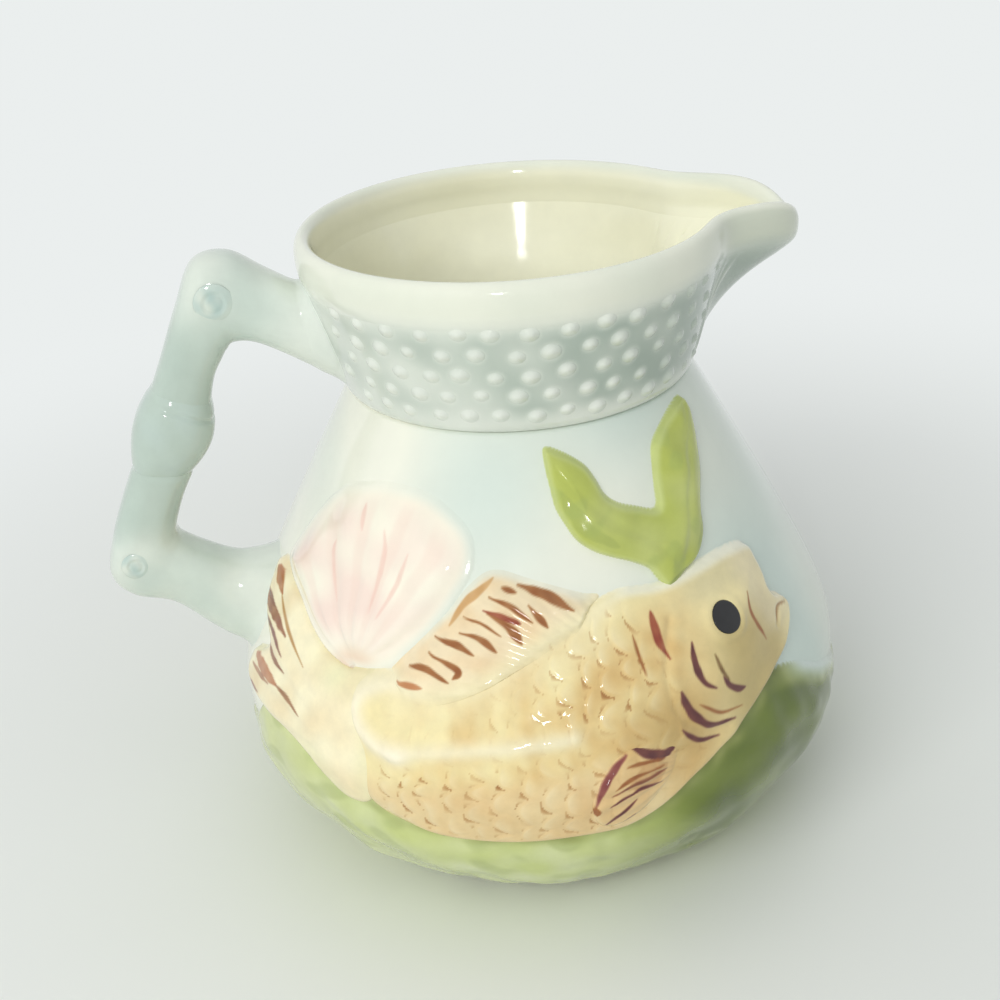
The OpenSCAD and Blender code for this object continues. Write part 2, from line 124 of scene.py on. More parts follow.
table = bmesh.new()
bmesh.ops.create_grid(table, x_segments=8, y_segments=8, size=3)
table_mesh = as_mesh(table, "table")
table_top = bpy.data.objects.new("table", table_mesh)
scene.collection.objects.link(table_top)
laminate = bpy.data.materials.new("table_laminate")
laminate.use_nodes = True
board = laminate.node_tree
finish = board.nodes["Principled BSDF"]
finish.inputs["Base Color"].default_value = (0.84, 0.86, 0.82, 1)
finish.inputs["Roughness"].default_value = 0.45
table_where = board.nodes.new("ShaderNodeTexCoord")
reached = board.nodes.new("ShaderNodeVectorMath")
reached.operation = "LENGTH"
fade = board.nodes.new("ShaderNodeMapRange")
fade.interpolation_type = "SMOOTHSTEP"
fade.inputs["From Min"].default_value = 0.1
fade.inputs["From Max"].default_value = 0.42
haze = board.nodes.new("ShaderNodeMath")
haze.operation = "MULTIPLY"
far = board.nodes.new("ShaderNodeEmission")
far.inputs["Color"].default_value = surround
blend = board.nodes.new("ShaderNodeMixShader")
board.links.new(table_where.outputs["Object"], reached.inputs[0])
board.links.new(reached.outputs["Value"], fade.inputs["Value"])
board.links.new(fade.outputs["Result"], haze.inputs[0])
board.links.new(plainly_seen(board), haze.inputs[1])
board.links.new(haze.outputs[0], blend.inputs["Fac"])
board.links.new(finish.outputs[0], blend.inputs[1])
board.links.new(far.outputs[0], blend.inputs[2])
board.links.new(blend.outputs[0], board.nodes["Material Output"].inputs["Surface"])
table_mesh.materials.append(laminate)

# The body: a pear-shaped hollow wall of cast earthenware with its floor, about
# 3 mm thick. It is glazed cream inside, and pale aqua over white outside, laid
# on with a soft brush so that the aqua comes and goes. The aqua also grows
# toward the right and thins on the left, partly as painted shade on the side
# away from the light and painted light on the lit side.
MM = 0.001
foot_r = 56.5
belly_r = 80.5
neck_r = 43
belly_h = 41
neck_h = 120
wall_t = 3.2
floor_t = 4.5
body_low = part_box("body_wall")[0].z / MM


def wall_radius(z):
    z = np.asarray(z, float)
    low = belly_r - (belly_r - foot_r) * np.clip((belly_h - z) / belly_h, 0, 1) ** 2.1
    s = np.clip((z - belly_h) / (neck_h - belly_h), 0, 1.1)
    drop = (np.sqrt(0.168 ** 2 + s * s) - 0.168) / (np.sqrt(0.168 ** 2 + 1) - 0.168)
    return np.where(z < belly_h, low, belly_r - (belly_r - neck_r) * drop)


def wall_slope(z):
    return (wall_radius(z + 0.25) - wall_radius(z - 0.25)) / 0.5


def on_wall(deg, z, h=0):
    """Points in mm on the wall, or moved level and outwards until they stand h off it"""
    r = wall_radius(z) + h * np.sqrt(1 + wall_slope(z) ** 2)
    return np.stack([r * np.cos(np.radians(deg)), r * np.sin(np.radians(deg)), z], -1)


def clouds(points, size, seed):
    """A soft random field over points in mm, from about -1 to 1, that varies over this size"""
    draw = np.random.default_rng(seed)
    field = np.zeros(len(points))
    for _ in range(14):
        way = draw.normal(size=3)
        way *= 2 * np.pi / size * draw.uniform(0.6, 1.6) / np.linalg.norm(way)
        field += np.cos(points @ way + draw.uniform(0, 2 * np.pi))
    return field / 3.4


def ramp(x, low, high):
    t = np.clip((x - low) / (high - low), 0, 1)
    return t * t * (3 - 2 * t)


def tint(colour, other, share):
    """Lays a glaze colour over another, by a share for each point"""
    other = np.asarray(other, float)
    return colour + (other - colour) * np.clip(share, 0, 1)[:, None]


def all_over(colour, points):
    """The same glaze colour at every point"""
    return np.tile(np.array(colour, float), (len(points), 1))


def round_deg(points):
    """Degrees round the jug from the spout, below 0 on the front half"""
    return np.degrees(np.arctan2(points[:, 1], points[:, 0]))


def places(mesh):
    """Where the mesh's vertices are, in its own units"""
    flat = np.empty(len(mesh.vertices) * 3)
    mesh.vertices.foreach_get("co", flat)
    return flat.reshape(-1, 3)


def paint(mesh, colour):
    """Writes the glaze colours, given as the eye sees them (0 to 255), onto a mesh's vertices"""
    share = np.clip(colour / 255, 0, 1)
    linear = np.where(share <= 0.04045, share / 12.92, ((share + 0.055) / 1.055) ** 2.4)
    layer = mesh.color_attributes.new("Glaze", "FLOAT_COLOR", "POINT")
    layer.data.foreach_set("color", np.column_stack([linear, np.ones(len(linear))]).ravel())


def glaze(name, rough, mottle, mottle_size, orange_peel):
    """A fired glaze over painted colours: glossy, a little uneven, with a faint orange-peel skin"""
    made = bpy.data.materials.new(name)
    made.use_nodes = True
    tree = made.node_tree
    shader = tree.nodes["Principled BSDF"]
    shader.inputs["Roughness"].default_value = rough
    shader.inputs["IOR"].default_value = 1.52
    shader.inputs["Coat Weight"].default_value = 0.35
    shader.inputs["Coat Roughness"].default_value = 0.04
    painted = tree.nodes.new("ShaderNodeVertexColor")
    painted.layer_name = "Glaze"
    where = tree.nodes.new("ShaderNodeTexCoord")
    patches = tree.nodes.new("ShaderNodeTexNoise")
    patches.inputs["Scale"].default_value = mottle_size
    patches.inputs["Detail"].default_value = 5
    patches.inputs["Roughness"].default_value = 0.62
    depth = tree.nodes.new("ShaderNodeMapRange")
    depth.inputs["From Min"].default_value = 0.3
    depth.inputs["From Max"].default_value = 0.7
    depth.inputs["To Min"].default_value = 1 - mottle
    depth.inputs["To Max"].default_value = 1 + mottle
    stain = tree.nodes.new("ShaderNodeMix")
    stain.data_type = "RGBA"
    stain.blend_type = "MULTIPLY"
    stain.inputs["Factor"].default_value = 1
    tree.links.new(where.outputs["Object"], patches.inputs["Vector"])
    tree.links.new(patches.outputs["Fac"], depth.inputs["Value"])
    tree.links.new(painted.outputs["Color"], stain.inputs[6])
    tree.links.new(depth.outputs["Result"], stain.inputs[7])
    tree.links.new(stain.outputs[2], shader.inputs["Base Color"])
    peel = tree.nodes.new("ShaderNodeTexNoise")
    peel.inputs["Scale"].default_value = 210
    peel.inputs["Detail"].default_value = 2
    ripple = tree.nodes.new("ShaderNodeBump")
    ripple.inputs["Strength"].default_value = orange_peel
    ripple.inputs["Distance"].default_value = 0.0004
    tree.links.new(where.outputs["Object"], peel.inputs["Vector"])
    tree.links.new(peel.outputs["Fac"], ripple.inputs["Height"])
    tree.links.new(ripple.outputs["Normal"], shader.inputs["Normal"])
    return made


aqua = (206, 221, 212)
milk = (242, 242, 226)
cream_inside = (251, 250, 226)
leaf_green = (192, 205, 130)


def wall_glaze(deg, z):
    """The colour of the outer wall by height and by degrees from the spout, which are below 0 in front"""
    point = on_wall(deg, z)
    # More aqua toward the right and less on the left: partly the brushed wash, partly painted shade and
    # painted light of the two sides.
    share = 0.14 + 0.24 * clouds(point, 55, 3) + 0.62 * ramp(deg, -98, -45) - 0.12 * ramp(deg, -120, -150)
    colour = tint(all_over(milk, point), aqua, share)
    edge = np.interp(deg, [-180, -166, -150, -137, -120, -92, -79, -56, -48, -37, -27, -10, 0],
                     [35, 39, 41, 37, 32, 30, 38, 51, 49, 42, 39, 37, 33])
    return tint(colour, leaf_green, 0.9 * ramp(edge - z, -1.5, 3))


def inside_glaze(points):
    """The cream glaze of the inside, over points in mm"""
    return tint(all_over(cream_inside, points), (240, 238, 208), 0.3 + 0.3 * clouds(points, 40, 8))


def turned(name, profile, steps, ringed=False):
    """A mesh turned on the jug's axis from a profile of radii and heights in mm, closed if ringed"""
    pot = bmesh.new()
    line = [pot.verts.new((r * MM, 0, z * MM)) for r, z in profile]
    edges = [pot.edges.new(pair) for pair in zip(line, line[1:] + (line[:1] if ringed else []))]
    bmesh.ops.spin(pot, geom=line + edges, cent=(0, 0, 0), axis=(0, 0, 1), angle=2 * np.pi, steps=steps,
                   use_merge=True)
    bmesh.ops.remove_doubles(pot, verts=pot.verts, dist=1e-6)
    bmesh.ops.recalc_face_normals(pot, faces=pot.faces)
    return as_mesh(pot, name)


floor_z = body_low + floor_t
outer_side = [(float(wall_radius(z)), z) for z in np.linspace(body_low, neck_h, 128)]
inner_side = [(float(wall_radius(z) - wall_t * np.sqrt(1 + wall_slope(z) ** 2)), z)
              for z in np.linspace(neck_h, floor_z, 56)]
underside = [(foot_r * share, body_low) for share in (0, 0.25, 0.5, 0.75, 0.9)]
floor_top = [(inner_side[-1][0] * share, floor_z) for share in (0.94, 0.8, 0.6, 0.4, 0.2, 0)]
body_mesh = turned("body_wall_glazed", underside + outer_side + inner_side + floor_top, 440)
spots = places(body_mesh) / MM
inside = np.hypot(spots[:, 0], spots[:, 1]) < wall_radius(spots[:, 2]) - 1
outside_colour = wall_glaze(-np.abs(round_deg(spots)), spots[:, 2])
wiped = ramp(body_low + 1.2 - spots[:, 2], 0, 0.8)
outside_colour = tint(outside_colour, (226, 214, 188), wiped)
paint(body_mesh, np.where(inside[:, None], inside_glaze(spots), outside_colour))
body_glaze = glaze("aqua_glaze", 0.1, 0.025, 60, 0.05)


def finished(name, mesh, material, slot, *nodes):
    """Hangs a finished piece on the jug in place of its nodes"""
    mesh.materials.append(material)
    mesh.shade_smooth()
    piece = bpy.data.objects.new(name, mesh)
    scene.collection.objects.link(piece)
    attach(piece, "root")
    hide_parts(*nodes)
    return piece


finished("body_wall_glazed", body_mesh, body_glaze, "aqua_glaze", "body_wall")

# The foot ring: the unglazed ring of cream earthenware that the jug stands on,
# wiped clean before the firing so that it would not stick to the kiln shelf.
bare_clay = bpy.data.materials.new("bare_earthenware")
bare_clay.use_nodes = True
clay = bare_clay.node_tree
clay_shader = clay.nodes["Principled BSDF"]
clay_grain = clay.nodes.new("ShaderNodeTexNoise")
clay_grain.inputs["Scale"].default_value = 900
clay_grain.inputs["Detail"].default_value = 6
clay_colour = clay.nodes.new("ShaderNodeValToRGB")
clay_colour.color_ramp.elements[0].position = 0.35
clay_colour.color_ramp.elements[0].color = (0.50, 0.40, 0.27, 1)
clay_colour.color_ramp.elements[1].position = 0.62
clay_colour.color_ramp.elements[1].color = (0.72, 0.62, 0.46, 1)
clay_where = clay.nodes.new("ShaderNodeTexCoord")
clay_bump = clay.nodes.new("ShaderNodeBump")
clay_bump.inputs["Strength"].default_value = 0.35
clay_bump.inputs["Distance"].default_value = 0.0003
clay_shader.inputs["Roughness"].default_value = 0.85
clay.links.new(clay_where.outputs["Object"], clay_grain.inputs["Vector"])
clay.links.new(clay_grain.outputs["Fac"], clay_colour.inputs["Fac"])
clay.links.new(clay_grain.outputs["Fac"], clay_bump.inputs["Height"])
clay.links.new(clay_colour.outputs["Color"], clay_shader.inputs["Base Color"])
clay.links.new(clay_bump.outputs["Normal"], clay_shader.inputs["Normal"])
ring_low, ring_high = [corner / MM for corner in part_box("foot_ring")]
ring_out = ring_high.x
ring_in = ring_out - 8
ring_edge = 0.6
foot_mesh = turned("foot_ring_bare", [
    (ring_in, ring_high.z), (ring_in, ring_low.z + ring_edge), (ring_in + ring_edge, ring_low.z),
    (ring_out - ring_edge, ring_low.z), (ring_out, ring_low.z + ring_edge), (ring_out, ring_high.z)
], 180, ringed=True)
finished("foot_ring_bare", foot_mesh, bare_clay, "bare_foot", "foot_ring").data.shade_flat()

# The collar: a flared, hollow band of the same casting above the neck, drawn
# out to a pinched spout in front. The pale green-grey glaze runs off what
# stands up, such as the beads, and pools a little darker round them. Toward
# the spout its colour also holds painted shade: deeper between the beads on
# that side, and darker still under the spout's flare.
jug_h = 158.3
roll_h = 8.6
lip_dip = 6
lip_spread_deg = 9.7
spout_out = 20.8
spout_half_deg = 16.6
collar_foot_r = 43.9
collar_top_r = 51.7
collar_foot_z = neck_h + 0.15
bead_top = 3.15
bead_pitch = 5.4
bead_rows = 5
bead_places = 38
pull_lines = (18.5, 21.6, 25.2)


def collar_tall(deg):
    """Height in mm of the collar's own band, which dips below the lip"""
    return jug_h - roll_h - lip_dip * np.exp(-(deg / lip_spread_deg) ** 2) - collar_foot_z


def collar_point(deg, t):
    """Points in mm on the collar's outer face, t of the way from its foot to its top"""
    z = collar_foot_z + collar_tall(deg) * t
    share = np.exp(-(np.abs(deg) / (spout_half_deg * (0.6 + 0.4 * t))) ** 2.9)
    eased = np.maximum(t - 2 * np.clip(t - 0.85, 0, 0.25) ** 2, 0)
    grow = 0.2 * np.sqrt(eased) + 0.8 * eased ** 2.7
    r = collar_foot_r + (collar_top_r - collar_foot_r) * t + spout_out * grow * share
    for line in pull_lines:
        r = r + 0.42 * np.exp(-((np.abs(deg) - line) / 0.85) ** 2) * ramp(t, 0.02, 0.25) * ramp(t, 0.98, 0.7)
    return np.stack([r * np.cos(np.radians(deg)), r * np.sin(np.radians(deg)), z], -1)


def collar_out(deg, t):
    """The level direction square to the collar there, outwards"""
    along = collar_point(deg + 0.4, t) - collar_point(deg - 0.4, t)
    out = np.stack([along[:, 1], -along[:, 0], 0 * t], -1)
    return out / np.linalg.norm(out, axis=1)[:, None]


def spread(share):
    """Degrees round the jug for a share of the turn, closer together at the spout"""
    turn = 360 * share - 180
    return turn - 45 * np.sin(np.radians(turn))


def move(mesh, points):
    """Moves a mesh's vertices to points in mm"""
    mesh.vertices.foreach_set("co", (points * MM).ravel())


def close_up(mesh):
    """Merges a mesh's seams and poles, and turns its faces outwards"""
    shape = bmesh.new()
    shape.from_mesh(mesh)
    bmesh.ops.remove_doubles(shape, verts=shape.verts, dist=2e-6)
    bmesh.ops.recalc_face_normals(shape, faces=shape.faces)
    shape.to_mesh(mesh)
    shape.free()


def lay(name, cols, rows, place, closed=True):
    """A sheet of cols by rows faces whose corners go where place(u, v) says, in mm"""
    sheet = bmesh.new()
    bmesh.ops.create_grid(sheet, x_segments=cols, y_segments=rows, size=0.5)
    made = as_mesh(sheet, name)
    flat = places(made)
    move(made, place(flat[:, 0] + 0.5, flat[:, 1] + 0.5))
    if closed:
        close_up(made)
    return made


def collar_place(u, v):
    deg = spread(u)
    t = np.interp(v, [0, 0.09, 0.62, 0.655, 0.965, 1], [0, 0.09, 1, 1, 0, 0])
    depth = np.interp(v, [0, 0.62, 0.655, 0.965, 1], [0, 0, 3.9, 4.5, 1.2])
    rounding = 1.2 * (1 - np.sqrt(1 - (1 - np.clip(t / 0.08, 0, 1)) ** 2))
    depth = np.where(v < 0.63, rounding, depth)
    return collar_point(deg, t) - collar_out(deg, t) * depth[:, None]


draw = np.random.default_rng(12)
bead_spots = [
    ((place + row % 2 / 2) * 360 / bead_places - 180, jug_h - roll_h - bead_top - row * bead_pitch)
    for row in range(bead_rows) for place in range(bead_places)
]
bead_spots = np.array([(deg, z) for deg, z in bead_spots if 27 < abs(deg) < 157])
bead_spots = bead_spots + draw.uniform(-1, 1, bead_spots.shape) * (0.9, 0.5)
bead_size = draw.uniform(0.82, 1.15, len(bead_spots)) * (0.75 + 0.25 * ramp(np.abs(bead_spots[:, 0]), 26, 44))


def collar_share(deg, z):
    """How far up the collar a height is, as a share"""
    return (z - collar_foot_z) / collar_tall(deg)


bead_centres = collar_point(bead_spots[:, 0], collar_share(bead_spots[:, 0], bead_spots[:, 1]))
collar_green = (216, 223, 211)
collar_pool_and_shade = (168, 182, 170)
collar_pale = (231, 234, 224)


def collar_colour(points):
    """The outer glaze of the collar: pale on what stands up, pooled in what lies low, with painted shade
    toward the spout and under it
    """
    deg = round_deg(points)
    t = collar_share(deg, points[:, 2])
    gap = np.full(len(points), 99.0)
    for centre, size in zip(bead_centres, bead_size):
        gap = np.minimum(gap, np.linalg.norm(points - centre, axis=1) / size)
    low = ramp(t, 0.08, 0.26) * ramp(t, 0.98, 0.8) * ramp(gap, 0.9, 3.0)
    front = ramp(np.abs(deg), 124, 70)
    colour = tint(all_over(collar_green, points), collar_pale, 0.3 + 0.3 * clouds(points, 30, 21))
    # Pooled glaze between the beads, made much deeper toward the spout as painted shade of that side.
    colour = tint(colour, collar_pool_and_shade, low * (0.24 + 0.62 * front + 0.2 * clouds(points, 16, 22)))
    # Paler bead tops, kept less pale toward the spout as painted shade.
    colour = tint(colour, collar_pale, ramp(gap, 2.8, 0.3) * (0.5 - 0.18 * front))
    # Painted shade under the spout's flare: the collar is darker grey-green there.
    colour = tint(colour, (158, 172, 160), 0.5 * ramp(np.abs(deg), 80, 40) * ramp(t, 0.0, 0.3))
    for line in pull_lines:
        ridge = np.exp(-((np.abs(deg) - line) / 0.8) ** 2)
        colour = tint(colour, collar_pale, 0.6 * ridge * ramp(t, 0.95, 0.7))
    return tint(colour, (236, 239, 226), ramp(t, 0.88, 1.0) * (0.85 - 0.5 * ramp(np.abs(deg), 60, 30)))


collar_mesh = lay("collar_glazed", 640, 96, collar_place)
spots = places(collar_mesh) / MM
deg = round_deg(spots)
face_r = np.linalg.norm(collar_point(deg, collar_share(deg, spots[:, 2]))[:, :2], axis=1)
inside = np.hypot(spots[:, 0], spots[:, 1]) < face_r - 1.5
paint(collar_mesh, np.where(inside[:, None], inside_glaze(spots), collar_colour(spots)))
collar_glaze = glaze("collar_glaze", 0.12, 0.03, 90, 0.1)
finished("collar_glazed", collar_mesh, collar_glaze, "collar_glaze", "collar")

# The beads on the collar: rows of low, soft bumps, wider than they are high,
# cast with the collar. Each is a small dome whose edge sinks into the collar.
bead_h = 0.8
bead_reach = 2.75
bead_flat = 0.82


def bead_place(u, v):
    out = np.interp(v, [0, 0.8, 1], [0, 1, 0])
    rise = np.where(v < 0.81, 0.5 * (1 + np.cos(np.pi * out)) * (bead_h + 0.12) - 0.12, -0.45)
    turn = 2 * np.pi * u
    wide = bead_reach * out
    return np.stack([wide * np.cos(turn), wide * bead_flat * np.sin(turn), rise], -1)


one_bead = lay("bead", 14, 7, bead_place)
dome = places(one_bead) / MM
beads = bmesh.new()
for _ in bead_spots:
    beads.from_mesh(one_bead)
bead_mesh = as_mesh(beads, "collar_beads_glazed")
size = np.repeat(bead_size, len(dome))
bead_deg = np.repeat(bead_spots[:, 0], len(dome))
bead_z = np.repeat(bead_spots[:, 1], len(dome)) + np.tile(dome[:, 1], len(bead_spots)) * size
centre_r = np.repeat(np.hypot(bead_centres[:, 0], bead_centres[:, 1]), len(dome))
bead_deg = bead_deg + np.degrees(np.tile(dome[:, 0], len(bead_spots)) * size / centre_r)
bead_t = collar_share(bead_deg, bead_z)
spots = collar_point(bead_deg, bead_t)
bead_lift = np.tile(dome[:, 2], len(bead_spots)) * size
move(bead_mesh, spots + collar_out(bead_deg, bead_t) * bead_lift[:, None])
close_up(bead_mesh)
paint(bead_mesh, collar_colour(spots))
finished("collar_beads_glazed", bead_mesh, collar_glaze, "collar_glaze", "collar_beads")

# The rim: a thick, soft roll of slip round the mouth and the spout's lip,
# where the cream glaze of the inside laps over the edge. Both its edges are
# feathered into the collar's faces, as a wet finger leaves them.
rim_section = np.array([
    (-0.4, -3.4), (-0.05, -2.2), (0.16, -0.8), (0.25, 0.8), (0.2, 2.6), (0.12, 4.6), (-0.15, 6.4),
    (-0.85, 7.9), (-1.95, 8.65), (-3.05, 8.45), (-4.0, 7.4), (-4.55, 5.4), (-4.65, 3.2), (-4.4, 1.2),
    (-4.1, -0.8), (-3.8, -2.6), (-3.2, -3.2), (-1.8, -3.5)
])
lip_rounding = 2.4


def smooth_line(points, closed=False, steps=10):
    """A smooth line through points"""
    row = np.array(points, float)
    if closed:
        row = np.vstack([row[-1], row, row[:2]])
    else:
        row = np.vstack([2 * row[0] - row[1], row, 2 * row[-1] - row[-2]])
    t = np.arange(steps)[:, None] / steps
    parts = []
    for a, b, c, d in zip(row, row[1:], row[2:], row[3:]):
        bend = (2 * a - 5 * b + 4 * c - d) * t * t + (3 * b - a - 3 * c + d) * t ** 3
        parts.append(0.5 * (2 * b + (c - a) * t + bend))
    if not closed:
        parts.append(row[-2:-1])
    return np.vstack(parts)


rim_line = smooth_line(rim_section)
rim_line = np.vstack([rim_line, rim_line[0]])


def rim_place(u, v):
    deg = spread(u)
    at = v * (len(rim_line) - 1)
    side = np.interp(at, np.arange(len(rim_line)), rim_line[:, 0])
    up = np.interp(at, np.arange(len(rim_line)), rim_line[:, 1])
    flared = np.where(up > 0, lip_rounding * (1 - np.exp(-np.maximum(up, 0) / lip_rounding)), up)
    t = 1 + flared / collar_tall(deg)
    raised = np.stack([0 * up, 0 * up, up - flared], -1)
    return collar_point(deg, t) + collar_out(deg, t) * side[:, None] + raised


rim_mesh = lay("rim_roll_glazed", 560, 72, rim_place)
spots = places(rim_mesh) / MM
deg = round_deg(spots)
rim_up = (collar_share(deg, spots[:, 2]) - 1) * (jug_h - roll_h - collar_foot_z)
face_r = np.linalg.norm(collar_point(deg, np.ones_like(deg))[:, :2], axis=1)
inward = ramp(np.hypot(spots[:, 0], spots[:, 1]) - face_r, -2.2, -3.6)
rim_cream = tint(all_over((234, 236, 219), spots), (228, 232, 215), 0.3 + 0.4 * clouds(spots, 26, 31))
# Painted shade: greyer green on the outer face of the lip at the spout, below its top.
spout_lip_shade = ramp(np.abs(deg), 48, 24) * (1 - inward) * ramp(rim_up, 8.7, 7)
rim_cream = tint(rim_cream, (205, 211, 192), 0.75 * spout_lip_shade)
rim_outside = tint(rim_cream, collar_colour(spots), ramp(rim_up, 2.5, -1.5))
rim_share = (inward * ramp(rim_up, 8.4, 5.5))[:, None]
paint(rim_mesh, rim_outside + (inside_glaze(spots) - rim_outside) * rim_share)
rim_glaze = glaze("rim_cream_glaze", 0.09, 0.02, 90, 0.06)
finished("rim_roll_glazed", rim_mesh, rim_glaze, "cream_glaze", "rim_roll")

# The handle: a bent bamboo cane, cast solid in two halves and stuck on the
# jug with slip, which fills the corners at both roots. Pale aqua glaze.
handle_reach = 110.4
handle_w = 16.4
handle_power = 2.5
# Outer and inner edge of each section, across and up, and its width, as
# shares of the handle's reach, the jug's height and the handle's width
handle_shares = [
    (0.45, 0.925, 0.40, 0.765, 1.25), (0.49, 0.937, 0.475, 0.805, 1.1),
    (0.54, 0.96, 0.575, 0.848, 1.0), (0.616, 0.994, 0.627, 0.855, 1.02),
    (0.693, 0.985, 0.646, 0.845, 1.04), (0.743, 0.92, 0.658, 0.833, 1.0),
    (0.798, 0.836, 0.686, 0.798, 0.96), (0.851, 0.758, 0.716, 0.726, 0.94),
    (0.893, 0.682, 0.755, 0.665, 0.94), (0.936, 0.619, 0.799, 0.609, 0.96),
    (0.978, 0.55, 0.829, 0.556, 1.0), (1.0, 0.486, 0.826, 0.536, 1.04),
    (0.96, 0.445, 0.808, 0.524, 1.02), (0.87, 0.421, 0.768, 0.505, 1.0),
    (0.788, 0.366, 0.707, 0.483, 1.1), (0.70, 0.313, 0.62, 0.472, 1.3)
]
handle_line = smooth_line(handle_shares, steps=24)
root_share = 0.06
root_swell = 2.6
cap_share = 0.03


def jug_radius(z):
    """Radius in mm of the wall or, above the neck, of the collar"""
    t = (z - neck_h) / (jug_h - roll_h - neck_h)
    return np.where(z < neck_h, wall_radius(z), collar_foot_r + (collar_top_r - collar_foot_r) * t)


def handle_point(u, turn, grow):
    """Points in mm on the handle, u along it and turned round it, grown by a margin"""
    at = np.clip(u, 0, 1) * (len(handle_line) - 1)
    row = [np.interp(at, np.arange(len(handle_line)), column) for column in handle_line.T]
    scale = (handle_reach, jug_h, handle_reach, jug_h, handle_w / 2)
    out_x, out_z, in_x, in_z, wide = [column * size for column, size in zip(row, scale)]
    half_x = (out_x - in_x) / 2
    half_z = (out_z - in_z) / 2
    long = np.hypot(half_x, half_z)
    root = np.minimum(u, 1 - u) / root_share
    swell = grow + root_swell * np.clip(1 - root, 0, 1) ** 2.2
    c = np.sign(np.cos(turn)) * np.abs(np.cos(turn)) ** (2 / handle_power)
    s = np.sign(np.sin(turn)) * np.abs(np.sin(turn)) ** (2 / handle_power)
    x = (out_x + in_x) / 2 + half_x / long * (long + swell) * c
    z = (out_z + in_z) / 2 + half_z / long * (long + swell) * c
    y = (wide + 1.5 * swell - 0.5 * grow) * s
    sunk = np.sqrt(np.maximum((jug_radius(z) - 0.5) ** 2 - y ** 2, 0))
    seat = ramp(root, 0.8, 0)
    x = np.maximum(x, sunk)
    return np.stack([-(x + (sunk - x) * seat), y, z], -1)


def handle_place(u, v):
    along = np.interp(v, [cap_share, 1 - cap_share], [0, 1])
    cap = np.interp(v, [0, cap_share, 1 - cap_share, 1], [0, 1, 1, 0])
    turn = 2 * np.pi * u
    pinch = -0.3 * np.exp(-((along - 0.548) / 0.006) ** 2)
    skin = handle_point(along, turn, pinch)
    middle = handle_point(along, turn * 0, 0) / 2 + handle_point(along, turn * 0 + np.pi, 0) / 2
    return middle + (skin - middle) * cap[:, None]


handle_aqua = (207, 219, 208)
handle_pale = (227, 231, 218)
handle_deep = (186, 203, 194)


def handle_colour(points):
    x = points[:, 0]
    z = points[:, 2]
    colour = tint(all_over(handle_aqua, points), handle_pale, 0.3 + 0.28 * clouds(points, 34, 41))
    colour = tint(colour, handle_deep, 0.18 + 0.24 * clouds(points, 17, 42))
    grip = ramp(x, -66, -82) * ramp(z, 150, 138) * ramp(z, 84, 94)
    colour = tint(colour, (180, 196, 184), 0.8 * grip)
    root = np.maximum(ramp(x, -66, -52) * ramp(z, 100, 120), ramp(x, -84, -72) * ramp(z, 90, 80))
    return tint(colour, (230, 235, 224), 0.7 * root)


handle_mesh = lay("handle_glazed", 104, 300, handle_place)
spots = places(handle_mesh) / MM
paint(handle_mesh, handle_colour(spots))
handle_glaze = glaze("handle_glaze", 0.11, 0.04, 110, 0.09)
finished("handle_glazed", handle_mesh, handle_glaze, "handle_glaze", "handle")

# The joint of the cane: a swollen band round the grip that grows out of the
# cane above and ends in a step below, with the glaze darker in its creases.
band_from = 0.415
band_to = 0.575
band_swell = 2.5
band_seat = -0.5


def band_place(u, v):
    t = np.interp(v, [0, 0.88, 1], [0, 1, 0])
    turn = 2 * np.pi * u
    swell = band_seat + band_swell * np.sin(np.pi * np.clip((t - 0.08) / 0.76, 0, 1)) ** 0.8
    crease = np.exp(-((t - 0.21 + 0.05 * np.cos(turn)) / 0.022) ** 2)
    crease = crease * (0.2 + 0.8 * ramp(-np.cos(turn), -0.6, 0.4))
    swell = np.where(v < 0.885, swell - 0.5 * crease, band_seat - 0.3)
    swell = np.where(v > 0.999, band_seat, swell)
    return handle_point(band_from + (band_to - band_from) * t, turn, swell)


band_mesh = lay("handle_joint_band_glazed", 104, 110, band_place)
spots = places(band_mesh) / MM
band_over = spots[:, 2] - 95.2 - (spots[:, 0] + 100) * 0.2
band_stain = np.exp(-((band_over - 5.2) / 0.9) ** 2) + np.exp(-((band_over + 6.6) / 0.8) ** 2)
band_aqua = tint(handle_colour(spots), (190, 206, 198), 0.3 + 0.2 * clouds(spots, 9, 43))
paint(band_mesh, tint(band_aqua, (160, 178, 168), 0.6 * band_stain))
finished("handle_joint_band_glazed", band_mesh, handle_glaze, "handle_glaze", "handle_joint_band")

# The scars where branches of the cane were cut: on each side of the handle a
# round boss with a hollow ring above, and a smaller one below.
scar_section = [
    (0, 0.5), (0.3, 0.48), (0.5, 0.36), (0.66, 0.16), (0.8, 0.3), (0.96, 0.52), (1.14, 0.34), (1.34, 0),
    (1.5, -0.4)
]
scar_line = np.vstack([smooth_line(scar_section), [(1.2, -0.8), (0, -0.8)]])
scar_rise = 0.42
scars = bmesh.new()
for along, over, size in ((0.243, 0.43, 3.2), (0.722, 0.4, 2.4)):
    row = handle_line[int(round(along * (len(handle_line) - 1)))]
    middle_x = -(row[0] + (row[2] - row[0]) * over) * handle_reach
    middle_z = (row[1] + (row[3] - row[1]) * over) * jug_h
    side_y = row[4] * handle_w / 2
    for side in (-1, 1):
        def scar_place(u, v):
            pick = v * (len(scar_line) - 1)
            out = np.interp(pick, np.arange(len(scar_line)), scar_line[:, 0]) * size
            up = np.interp(pick, np.arange(len(scar_line)), scar_line[:, 1]) * scar_rise
            turn = 2 * np.pi * u
            x = out * np.cos(turn)
            z = out * np.sin(turn)
            fall = side_y * (1 - np.clip(np.hypot(x, z) / 9.5, 0, 1) ** 2.5 * 0.12)
            return np.stack([middle_x + x, side * (fall + up), middle_z + z], -1)
        scars.from_mesh(lay("scar", 48, 40, scar_place))
